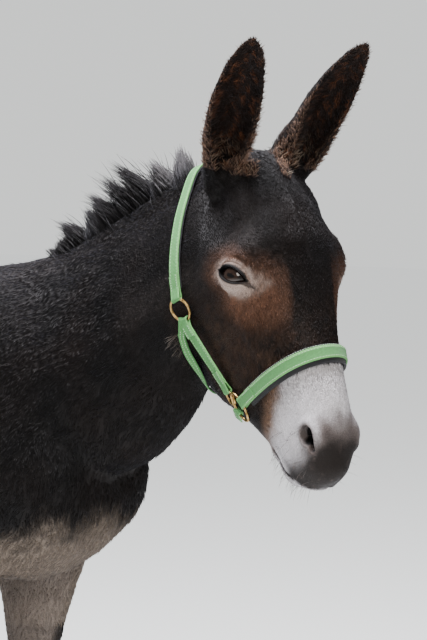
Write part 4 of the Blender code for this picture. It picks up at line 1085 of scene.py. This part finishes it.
# %% Switch of the tail
draw = np.random.default_rng(43)
low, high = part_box("tail_switch")
TAIL_Y, TAIL_RADIUS = 0.839, 0.019
count = 2600
start = draw.uniform(0, 1, count) ** 1.5
turn = draw.uniform(0, 2 * math.pi, count)
around = np.stack([np.cos(turn), np.sin(turn), 0 * turn], 1)
roots = np.array([((low + high) / 2).x, TAIL_Y, 0]) + around * TAIL_RADIUS
roots[:, 2] = high.z + 0.10 - 0.16 * start
lengths = (roots[:, 2] - low.z) * draw.uniform(0.62, 0.99, count)
ways = unit(around * 0.16 + np.array([0, 0.01, -1.0]))
bends = -around * (0.13 + 0.05 * draw.normal(size=count))[:, None] + draw.normal(0, 0.012, (count, 3))
strand_piece(
    "tail_hair", roots, ways, lengths, draw.uniform(0.0016, 0.0030, count), bends,
    shades(draw, "#1B1616", count), shades(draw, "#2A2220", count, 0.4), *LONG, 7,
)
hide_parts("tail_switch")

# %% Hair of the ears
draw = np.random.default_rng(44)
tri_facing = unit(tri_way)
for s, word in SIDES:
    _, rise, opening_way, over = ear_axes(s)
    share, across, opening = ear_place(middles, s)
    inner = (share > 0.06) & (share < 1.02)
    inner &= (np.abs(across) < EAR_HALF_WIDTH) & (np.abs(opening) < EAR_HALF_DEPTH)
    facing_out = tri_facing @ opening_way
    rim = inner & (opening > np.interp(share, (0, 0.5, 1), (-0.004, -0.006, -0.004))) & (facing_out > -0.3)
    for kind, faces_of, number in (("inner", inner & (facing_out > 0.15), 3000), ("fringe", rim, 1500)):
        chosen, shares = random_places(draw, areas * faces_of, number)
        roots = np.sum(tri[chosen] * shares, 1)
        normal = tri_facing[chosen]
        share, across, _ = ear_place(roots, s)
        outward = np.outer(np.sign(across), over)
        if kind == "inner":
            ways = unit(rise * 0.75 + normal * 0.40 - outward * 0.45)
            lengths = draw.uniform(0.008, 0.020, number) * np.interp(share, (0, 0.3, 1), (1.3, 1.0, 0.6))
            tufted = smooth(0.1, 0.8, ripple(roots, 0.020, 23))
            colour = two_shades(draw, "#17100D", "#3C2418", tufted)
            tips = two_shades(draw, "#241812", "#6E4329", tufted, 0.3, 0.4)
            low_down = smooth(0.26, 0.08, share) * (draw.uniform(0, 1, number) < 0.30)
            colour = blend(colour, linear("#6E5A48"), low_down)
            tips = blend(tips, linear("#9C8573" if s < 0 else "#B3A493"), low_down)
        else:
            ways = unit(rise * 0.62 + outward * 0.45 + normal * 0.35)
            lengths = draw.uniform(0.005, 0.013, number) * np.interp(share, (0, 0.5, 1), (1.3, 1.0, 0.7))
            bright = smooth(1.05, 0.25, share)
            colour = two_shades(draw, "#2E211B", "#463530", bright)
            tips = two_shades(draw, "#6B5446", "#A68671", bright)
        strand_piece(
            f"ear_{kind}_hair_{word}", roots, scatter(draw, ways, 0.16), lengths,
            draw.uniform(0.0006, 0.0012, number), scatter(draw, -normal * 0.5, 0.3) * 0.25, colour, tips,
            *FRINGE, 3,
        )

# %% [markdown]
# ## Hooves
# The horn grows down from the coronet in shallow rings 8 mm apart, streaked from top to
# bottom. The imported hooves keep their shape.

# %% Hoof horn
def horn_material():
    """Dull, slightly waxy keratin: rings round it every 8 mm and upright streaks about 3 mm wide."""
    made, tree, shader = new_material(
        "hoof_horn", Roughness=0.5, IOR=1.54, Coat_Weight=0.12, Coat_Roughness=0.4
    )
    place = add_node(tree, "TexCoord").outputs["Object"]
    rings = add_node(
        tree, "TexWave", {"bands_direction": "Z"}, Vector=place, Scale=39.0, Distortion=2.0, Detail=2.0,
        Detail_Scale=0.6,
    )
    upright = add_node(tree, "Mapping", Vector=place, Scale=(1.0, 1.0, 0.06))
    streaks = streaks_of(tree, upright.outputs["Vector"], 160.0, 4.0)
    shade = colour_ramp(tree, streaks, ((0.30, "#1F1A17"), (0.52, "#3A322C"), (0.75, "#5C5147")))
    finish_surface(tree, shader, shade, rings.outputs["Fac"], 0.5, 0.0008)
    return made


horn = horn_material()
for _, word in SIDES:
    for leg in ("fore", "hind"):
        hoof = nodes[f"hoof_{leg}_{word}"]
        hoof.data.materials.clear()
        hoof.data.materials.append(horn)
        only(hoof)
        bpy.ops.object.shade_smooth_by_angle(angle=math.radians(35))

# %% [markdown]
# ## Eyes
# A donkey's eye looks dark and wet: a brown iris round a level, oblong pupil, under a clear
# cornea that bulges a little. One turned ball carries the colours by their distance from the
# line of sight, and a clear coat on the shader stands for the wet cornea.

# %% Eyeballs
# millimetres from the line of sight: to the end of the colours, and the pupil's soft edge
IRIS_REACH, PUPIL_EDGE = 16.0, (3.6, 4.6)


def eye_material(side, word):
    """Wet cornea over a brown iris: very smooth, so that it holds one sharp light."""
    made, tree, shader = new_material(
        "wet_cornea_" + word, Roughness=0.12, Coat_Weight=1.0, Coat_Roughness=0.02, IOR=1.38
    )
    _, corner, up = eye_axes(side)
    place = add_node(tree, "TexCoord")
    away = add_node(tree, "VectorMath", {"operation": "SUBTRACT"}, Vector=place.outputs["Object"])
    away.inputs[1].default_value = eye_seat[side]

    def distance(across, rise):
        """Millimetres from the line of sight, with both axes stretched."""
        parts = []
        for axis in (corner * across, up * rise):
            part = add_node(tree, "VectorMath", {"operation": "DOT_PRODUCT"}, Vector=away.outputs["Vector"])
            part.inputs[1].default_value = axis / 0.001
            parts.append(part.outputs["Value"])
        joined = add_node(tree, "CombineXYZ", X=parts[0], Y=parts[1])
        return vector_math(tree, "LENGTH", "Value", Vector=joined.outputs["Vector"])

    iris = colour_ramp(
        tree, map_range(tree, distance(1.0, 1.0), 0.0, IRIS_REACH),
        ((0.0, "#1E120C"), (0.45, "#33231A"), (0.80, "#26170F"), (0.88, "#0B0807"), (1.0, "#241A17")),
    )
    pupil = map_range(tree, distance(0.55, 1.35), *PUPIL_EDGE)
    mixed = add_node(tree, "Mix", {"data_type": "RGBA"}, Factor=pupil, A="#060505", B=iris)
    finish_surface(tree, shader, mixed.outputs["Result"])
    return made


for s, word in SIDES:
    gaze, corner, up = eye_axes(s)
    eye = new_shape(
        bpy.ops.mesh.primitive_uv_sphere_add, "eyeball_" + word, segments=48, ring_count=28,
        radius=EYE_BALL - 0.0003,
    )
    turn = Matrix((corner, np.cross(gaze, corner), gaze)).transposed().to_4x4()
    eye.data.transform(Matrix.Translation(eye_seat[s]) @ turn)
    ball = points_of(eye) - eye_seat[s]
    bulge = 0.0011 * smooth(EYE_BALL * 0.72, EYE_BALL, ball @ gaze)
    set_points(eye, eye_seat[s] + ball * (1 + bulge / EYE_BALL)[:, None])
    bpy.ops.object.shade_smooth()
    eye.data.materials.append(eye_material(s, word))
    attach(eye, "root")
    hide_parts("eye_" + word)

# %% Lashes and whiskers
draw = np.random.default_rng(51)
for s, word in SIDES:
    gaze, corner, up = eye_axes(s)
    roots, ways, bends, lengths = [], [], [], []
    for share in np.linspace(-0.80, 0.72, 46):
        place = corner * (share * LID_HALF_LENGTH + LID_SHIFT) + up * (lid_edges(share)[0] + 0.0008)
        out = math.sqrt(max((EYE_BALL + LID_THICK) ** 2 - 0.62 * (place @ place), 0))
        roots.append(eye_seat[s] + place + gaze * (out - 0.0006))
        ways.append(unit(gaze * 0.9 + corner * share * 0.5 - up * 0.10))
        bends.append(up * 0.45 - gaze * 0.1)
        lengths.append(draw.uniform(0.008, 0.015) * (1 - 0.4 * abs(share)))
    count = len(roots)
    strand_piece(
        "lashes_" + word, np.array(roots), scatter(draw, np.array(ways), 0.07), np.array(lengths),
        np.full(count, 0.0006), np.array(bends), shades(draw, "#0C0A0A", count),
        shades(draw, "#0C0A0A", count), *LONG, 4,
    )

roots, ways, lengths = [], [], []
WHISKERS = 150
for _ in range(WHISKERS):
    along = draw.uniform(0.43, 0.525)
    side = draw.choice((-1, 1))
    low = draw.uniform(0, 1) < 0.6
    outward = -0.30 if low else draw.uniform(-0.14, -0.05)
    start = on_head(along, side * (draw.uniform(0, 0.035) if low else 0.15), outward)
    way = head_out if low else -head_left * side
    hit = skin_tree.ray_cast(Vector(start), Vector(way))[0]
    if hit is None:
        continue
    roots.append(hit)
    ways.append(unit(-way + head_along * 0.35 + draw.normal(0, 0.25, 3)))
    lengths.append(draw.uniform(0.010, 0.034))
count = len(roots)
strand_piece(
    "whiskers", np.array(roots), np.array(ways), np.array(lengths), np.full(count, 0.0005),
    np.tile(head_along * 0.2, (count, 1)), shades(draw, "#4A423E", count), shades(draw, "#8A807A", count),
    *LONG, 4,
)

# %% [markdown]
# ## Headcollar
# Straps of green webbing meet in brass rings at the jaw and above the mouth. Each strap lies in a
# plane round the head. Its path is felt out from the strap's own solid, and a band with rounded
# edges is laid along it. Its ends fold round the rings and are sewn back.

# %% Rings and where they lie
def main_axes(points):
    """The ways in which points spread most, less and least."""
    return np.linalg.svd(points - points.mean(0), full_matrices=False)[2]


def ring_axes(node):
    """Middle, length, width and wire of a ring, with its long, cross and face axes, from its solid."""
    found = np.unique(points_of(nodes[node]).round(6), axis=0)
    axes = main_axes(found)
    low, high = (found @ axes.T).min(0), (found @ axes.T).max(0)
    long, wide, wire = high - low
    return (low + high) / 2 @ axes, long - wire, wide - wire, wire, axes


SMALL_RING = (0.024, 0.018, 0.0046)  # length, width and wire of the fitting's small ring
LARGE_RING = (0.050, 0.026, 0.0050)


def fitting_axes(node):
    """The large ring of a fused fitting and the small one beside it, from the ends of its solid."""
    found = points_of(nodes[node])
    face = main_axes(found)[2]
    line = head_along + head_out * 0.05
    line = unit(line - face * (line @ face))
    across = np.cross(face, line)
    across = -across if across @ head_out > 0 else across
    reach, spread, rise = found @ line, found @ across, found @ face
    length, width, wire = LARGE_RING
    middle = line * (reach.max() - (length + wire) / 2) + across * (spread.min() + (width + wire) / 2)
    middle = middle + face * (rise.max() + rise.min()) / 2
    axes = np.array([line, across, face])
    return (middle, *LARGE_RING, axes), (middle - line * 0.022 + across * 0.010, *SMALL_RING, axes)


RINGS = {}
for _, word in SIDES:
    RINGS["ring_upper_" + word] = ring_axes("ring_upper_" + word)
    RINGS["ring_lower_" + word], RINGS["small_ring_" + word] = fitting_axes("ring_lower_" + word)


def ring_line(ring, count=96):
    middle, long, wide, _, axes = RINGS[ring]
    turn = np.linspace(0, 2 * math.pi, count, endpoint=False)
    return middle + np.outer(np.cos(turn), axes[0] * long / 2) + np.outer(np.sin(turn), axes[1] * wide / 2)


# %% Brass
def brass_material():
    """Cast brass, polished by wear: warm reflections, duller in random patches."""
    made, tree, shader = new_material("cast_brass", Metallic=1.0)
    place = add_node(tree, "TexCoord")
    dull = streaks_of(tree, place.outputs["Object"], 180.0, 4.0)
    tree.links.new(map_range(tree, dull, 0.0, 1.0, 0.16, 0.46), shader.inputs["Roughness"])
    finish_surface(tree, shader, colour_ramp(tree, dull, ((0.35, "#8E6F3C"), (0.6, "#D2B077"))))
    return made


TUBE = 0.2  # the torus is made this thick beside a radius of 1, then laid on the ring's oval
brass = brass_material()
for ring, (middle, long, wide, wire, axes) in RINGS.items():
    made = new_shape(
        bpy.ops.mesh.primitive_torus_add, "brass_" + ring, major_radius=1.0, minor_radius=TUBE,
        major_segments=48, minor_segments=12,
    )
    shape = points_of(made)
    flat = unit(shape * [1, 1, 0])
    tube = (shape - flat) / TUBE * wire / 2
    centre_line = middle + np.outer(flat[:, 0], axes[0] * long / 2) + np.outer(flat[:, 1], axes[1] * wide / 2)
    outward = unit(np.outer(flat[:, 0], axes[0] * wide) + np.outer(flat[:, 1], axes[1] * long))
    across = np.sum(tube * flat, 1)
    set_points(made, centre_line + outward * across[:, None] + np.outer(tube[:, 2], axes[2]))
    in_edit(made, bpy.ops.mesh.normals_make_consistent, inside=False)
    bpy.ops.object.shade_smooth()
    made.data.materials.append(brass)
    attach(made, "root")
    if ring.startswith("ring"):
        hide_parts(ring)
print("rings:", {ring: [round(1000 * v, 1) for v in RINGS[ring][1:4]] for ring in RINGS})


# %% Webbing
RAMP_STRETCH = 50.0  # a colour ramp ends at 1, so that one unit of it is 20 mm of webbing


def webbing_material(name, edge, middle, fuzz):
    """Woven polypropylene webbing: ribs across it 2 mm apart, bands of lighter yarn along both edges."""
    made, tree, shader = new_material(name, Roughness=0.7, Sheen_Weight=0.10, Sheen_Roughness=0.4, IOR=1.49)
    place = add_node(tree, "UVMap", {"uv_map": "webbing"}).outputs["UV"]
    split = add_node(tree, "SeparateXYZ", Vector=place)
    away = add_node(tree, "Math", {"operation": "ABSOLUTE"}, Value=split.outputs["Y"])
    scaled = add_node(tree, "Math", {"operation": "MULTIPLY"}, Value=away.outputs["Value"])
    scaled.inputs[1].default_value = RAMP_STRETCH
    stops = ((0.0, middle), (0.0062 * RAMP_STRETCH, middle), (0.0072 * RAMP_STRETCH, edge), (1.0, edge))
    shade = colour_ramp(tree, scaled.outputs["Value"], stops)
    ribs = add_node(
        tree, "TexWave", {"bands_direction": "X"}, Vector=place, Scale=157.0, Distortion=0.6, Detail=1.0
    ).outputs["Fac"]
    worn = map_range(tree, streaks_of(tree, place, 260.0, 4.0), 0.3, 0.7, 1 - fuzz, 1 + fuzz)
    # the ribs also scale the colour, darker in the grooves between them and a little lighter on their crests:
    # painted shade and highlight
    both = add_node(tree, "Math", {"operation": "MULTIPLY"}, Value=worn)
    tree.links.new(map_range(tree, ribs, 0.0, 1.0, 0.86, 1.06), both.inputs[1])
    tinted = vector_math(tree, "SCALE", "Vector", Vector=shade, Scale=both.outputs["Value"])
    finish_surface(tree, shader, tinted, ribs, 0.7, 0.0006)
    return made


green_webbing = webbing_material("green_woven_webbing", "#76BC6D", "#5A9C58", 0.12)
black_lining = webbing_material("black_padded_lining", "#1C1B20", "#1C1B20", 0.25)
thread = new_material("pale_sewing_thread", Base_Color="#D6E6D2", Roughness=0.6, Sheen_Weight=0.3)[0]


# %% A band along a path
def sewn_piece(name, points, faces, material, uv=()):
    """A closed mesh in its place on the headcollar, facing outward."""
    mesh = bpy.data.meshes.new(name)
    mesh.from_pydata(np.concatenate(points).tolist(), [], faces)
    if len(uv):
        mesh.uv_layers.new(name="webbing").data.foreach_set("uv", np.array(uv, np.float32).ravel())
    mesh.materials.append(material)
    made = new_object(name, mesh)
    in_edit(made, bpy.ops.mesh.normals_make_consistent, inside=False)
    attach(made, "root")
    return made


def band(middle, across, outward, width, thick, bead):
    """A strip with rounded edges: its upper face runs along middle, width across, thick below it."""
    h, r = width / 2, min(thick / 2, 0.0013)
    profile = [(-h, -thick / 2), (-h + 0.3 * r, -0.3 * r), (-h + r, 0.0)]
    profile += [(-h + 2.2 * r, bead), (-h + 4.0 * r, 0.0), (0.0, 0.0001)]
    profile += [(-b, n) for b, n in profile[4::-1]]
    profile += [(h - 0.3 * r, -thick + 0.3 * r), (h - r, -thick)]
    profile += [(-h + r, -thick), (-h + 0.3 * r, -thick + 0.3 * r)]
    profile = np.array(profile)
    rings = middle[:, None] + across[:, None] * profile[None, :, :1] + outward[:, None] * profile[None, :, 1:]
    count, sides = rings.shape[:2]
    travelled = travel(middle)
    faces, flat = [], []
    for k in range(count - 1):
        for i in range(sides):
            n = (i + 1) % sides
            faces.append((k * sides + i, k * sides + n, (k + 1) * sides + n, (k + 1) * sides + i))
            low, high = travelled[k], travelled[k + 1]
            v, w = profile[i][0], profile[n][0]
            flat += [(low, v), (low, w), (high, w), (high, v)]
    return rings.reshape(-1, 3), faces, flat, sides


def band_piece(name, parts, material):
    """One closed mesh of several bands, capped at their ends."""
    points, faces, flat, start = [], [], [], 0
    for places, sheet, uv, sides in parts:
        points.append(places)
        faces += [tuple(start + i for i in face) for face in sheet]
        flat += uv + [(0, 0.002)] * (2 * sides)
        ends = [start + i for i in range(sides)], [start + len(places) - sides + i for i in range(sides)]
        faces += [tuple(ends[0]), tuple(ends[1][::-1])]
        start += len(places)
    made = sewn_piece(name, points, faces, material, flat)
    bpy.ops.object.shade_smooth_by_angle(angle=math.radians(50))
    return made


# %% The path of each strap
def plane_way(out_share, along_share):
    """A way in the head's middle plane, by its shares out of the face and along it."""
    return unit(head_out * out_share + head_along * along_share)


# the middle of each strap's plane, and the way in it that the angles start from
NOSE = (on_head(0.352, 0, -0.085), plane_way(0.998, -0.067))
NAPE = (on_head(0.082, 0, -0.172), plane_way(0.330, -0.944))
THROAT = (on_head(0.209, 0, -0.2255), plane_way(-0.558, 0.83))
CHEEK = (on_head(0.274, 0, -0.2035), plane_way(0.112, 0.994))
# node: plane, first and last angle, width, thickness, the rings at its ends
STRAPS = {
    "crown_strap": (NAPE, -2.235, 2.235, 0.019, 0.0030, ("ring_upper_right", "ring_upper_left")),
    "noseband": (NOSE, -2.50, 2.50, 0.021, 0.0030, ("ring_lower_right", "ring_lower_left")),
    "chin_strap": (NOSE, 3.00, 3.28, 0.018, 0.0030, ("ring_lower_left", "ring_lower_right")),
    "throat_strap": (THROAT, -1.45, 1.45, 0.012, 0.0024, ("ring_upper_right", "ring_upper_left")),
    "cheek_strap_right": (CHEEK, -0.90, -2.22, 0.018, 0.0030, ("small_ring_right", "ring_upper_right")),
    "cheek_strap_left": (CHEEK, 0.90, 2.22, 0.018, 0.0030, ("small_ring_left", "ring_upper_left")),
}


def ease(path, passes):
    """Smooths a path in place, between its ends."""
    for _ in range(passes):
        path[1:-1] = (path[:-2] + 2 * path[1:-1] + path[2:]) / 4


SKIN_GAP = 0.0046


def above_skin(path):
    """The path, lifted wherever it would lie nearer to the skin than its gap."""
    lifted = path.copy()
    for k, place in enumerate(path):
        near, facing = (np.array(v) for v in skin_tree.find_nearest(Vector(place))[:2])
        lifted[k] += facing * max(SKIN_GAP - (place - near) @ facing, 0)
    return lifted


FEELER = 0.4  # each ray starts this far out from the middle of its strap, and stops at that middle
PATH_STEP = 0.0025


def strap_path(node):
    """Middle, across and outward along the upper face of a strap's solid, evenly spaced."""
    (centre, first), begin, end, width = STRAPS[node][:4]
    normal = unit(np.cross(first, head_left))
    mesh = nodes[node].data
    mesh.calc_loop_triangles()
    sheet = [list(t.vertices) for t in mesh.loop_triangles]
    tree = BVHTree.FromPolygons([v.co for v in mesh.vertices], sheet)
    angles = np.linspace(begin, end, 241)
    angles_up = angles * np.sign(end - begin)
    edges = []
    for offset in (-0.40 * width, 0.40 * width):
        places = []
        for angle in angles:
            way = first * math.cos(angle) + head_left * math.sin(angle)
            hit = tree.ray_cast(Vector(centre + normal * offset + way * FEELER), Vector(-way), FEELER)[0]
            places.append(np.full(3, np.nan) if hit is None else np.array(hit))
        places = np.array(places)
        known = ~np.isnan(places[:, 0])
        reach = sample(angles_up, angles_up[known], places[known])
        ease(reach, 60)
        for _ in range(3):
            reach = above_skin(reach)
            ease(reach, 6)
        edges.append(reach)
    travelled = travel((edges[0] + edges[1]) / 2)
    wanted = np.linspace(0, travelled[-1], max(8, int(travelled[-1] / PATH_STEP)))
    low, high = (sample(wanted, travelled, edge) for edge in edges)
    middle, across = (low + high) / 2, unit(high - low)
    outward = unit(np.cross(unit(np.gradient(middle, axis=0)), across))
    if np.sum((middle - centre) * outward) < 0:
        outward, across = -outward, -across
    return middle, across, outward


LAP = 0.024  # how far a folded end runs back over its strap
WIRE_GAP = 0.0003


def round_ring(middle, across, outward, ring, thick):
    """The folded end of a strap: from its upper face over the ring's wire and back beneath."""
    tip, way, above = middle[-1], unit(middle[-1] - middle[-4]), outward[-1]
    line = ring_line(ring)
    near = line[np.argmin(np.linalg.norm(line - (tip - above * thick / 2), axis=1))]
    reach = RINGS[ring][3] / 2 + WIRE_GAP
    ahead = unit(near - tip + above * ((tip - near) @ above))
    up = unit(np.cross(ahead, across[-1]))
    up = up if up @ above > 0 else -up
    path = [tip - way * LAP + above * (thick * 0.9), tip - way * LAP * 0.5 + above * (thick + 0.0003)]
    path.append(tip - way * 0.003 + above * (thick + 0.0002))
    facing = [above] * 3
    for turn in np.linspace(80, -80, 9):
        side = ahead * math.cos(math.radians(turn)) + up * math.sin(math.radians(turn))
        path.append(near + side * (reach + thick))
        facing.append(side)
    path.append(tip - way * 0.010 - above * thick)
    facing.append(-above)
    path, facing = np.array(path), unit(np.array(facing))
    travelled = travel(path)
    wanted = np.linspace(0, travelled[-1], 40)
    path, facing = sample(wanted, travelled, path), unit(sample(wanted, travelled, facing))
    side = np.tile(across[-1], (len(path), 1))
    return path, side, unit(facing - side * np.sum(facing * side, 1, keepdims=True))


# %% Stitches
STITCH_LONG, STITCH_WIDE, STITCH_STEP = 0.0032, 0.0008, 0.0050


def stitch_row(middle, across, outward, offset, found, step=STITCH_STEP):
    """Places and axes of the stitches along a strap, at so far from its middle."""
    line = middle + across * offset
    travelled = travel(line)
    for at in np.arange(0.002, travelled[-1] - 0.002, step):
        k = min(np.searchsorted(travelled, at), len(line) - 1)
        found.append((sample(at, travelled, line), unit(line[k] - line[k - 1]), across[k], outward[k]))


def stitch_piece(name, found):
    one = new_shape(bpy.ops.mesh.primitive_uv_sphere_add, "one_stitch", segments=6, ring_count=5, radius=0.5)
    shape = points_of(one) * [STITCH_WIDE, STITCH_WIDE, STITCH_LONG]
    faces = [tuple(p.vertices) for p in one.data.polygons]
    bpy.data.objects.remove(one)
    points, sheet = [], []
    for k, (place, ahead, across, outward) in enumerate(found):
        points.append(place + outward * 0.0001 + shape @ np.array([across, outward, ahead]))
        sheet += [tuple(k * len(shape) + i for i in face) for face in faces]
    sewn_piece(name, points, sheet, thread)
    bpy.ops.object.shade_smooth()
    print(name, len(found), "stitches")


# %% Lay the straps
FOLD_THICK, FOLD_NARROWER = 0.0022, 0.001
# width and thickness of each lining, and how far it is shifted down the head
LININGS = {"noseband": (0.0312, 0.0042, 0.0019), "crown_strap": (0.0225, 0.0014, 0.0)}
sewn = []
for node, (_, _, _, width, thick, ends) in STRAPS.items():
    middle, across, outward = strap_path(node)
    parts = [band(middle, across, outward, width, thick, 0.00035)]
    for edge in (-1, 1):
        stitch_row(middle, across, outward, edge * (width / 2 - 0.0032), sewn)
    for flip, ring in zip((-1, 1), ends):
        fold = round_ring(middle[::flip], across[::flip] * flip, outward[::flip], ring, FOLD_THICK)
        parts.append(band(*fold, width - FOLD_NARROWER, FOLD_THICK, 0.0002))
        for edge in (-1, 1):
            stitch_row(*(run[:14] for run in fold), edge * (width / 2 - 0.0035), sewn, 0.004)
    strap = band_piece("webbing_" + node, parts, green_webbing)
    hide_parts(node)
    if node in LININGS:
        lining_width, lining_thick, shift = LININGS[node]
        lower = 1 if across[0] @ head_along > 0 else -1
        under = middle - outward * (thick + 0.0001) + across * (shift * lower)
        lining = band(under, across, outward, lining_width, lining_thick, 0.0)
        band_piece("lining_" + node, [lining], black_lining)
    if node == "noseband":
        stitch_row(under, across, outward, -lower * 0.0139, sewn, 0.0042)
stitch_piece("stitches", sewn)

# %% Fringe of the jaw, behind the throat strap
draw = np.random.default_rng(45)
middle, across, outward = strap_path("throat_strap")
rear = across * (-1 if across[0] @ head_out > 0 else 1)
number = 900
beside = np.flatnonzero(np.abs(head_place(middle)[1]) > 0.050)  # not under the jaw
pick = draw.choice(beside, number)
wanted = middle[pick] + rear[pick] * draw.uniform(0.000, 0.015, number)[:, None]
found = [skin_tree.find_nearest(Vector(p)) for p in wanted]
roots, normal = np.array([f[0] for f in found]), np.array([f[1] for f in found])
ways = scatter(draw, unit(-head_out * 0.80 - head_along * 0.05 + normal * 0.35), 0.14)
strand_piece(
    "jaw_fringe", roots, ways, draw.uniform(0.010, 0.022, number), draw.uniform(0.0007, 0.0013, number),
    scatter(draw, np.tile(-head_out, (number, 1)), 0.3) * 0.25, shades(draw, "#3B342F", number, 0.3),
    shades(draw, "#8F857D", number, 0.35), *FRINGE, 3,
)
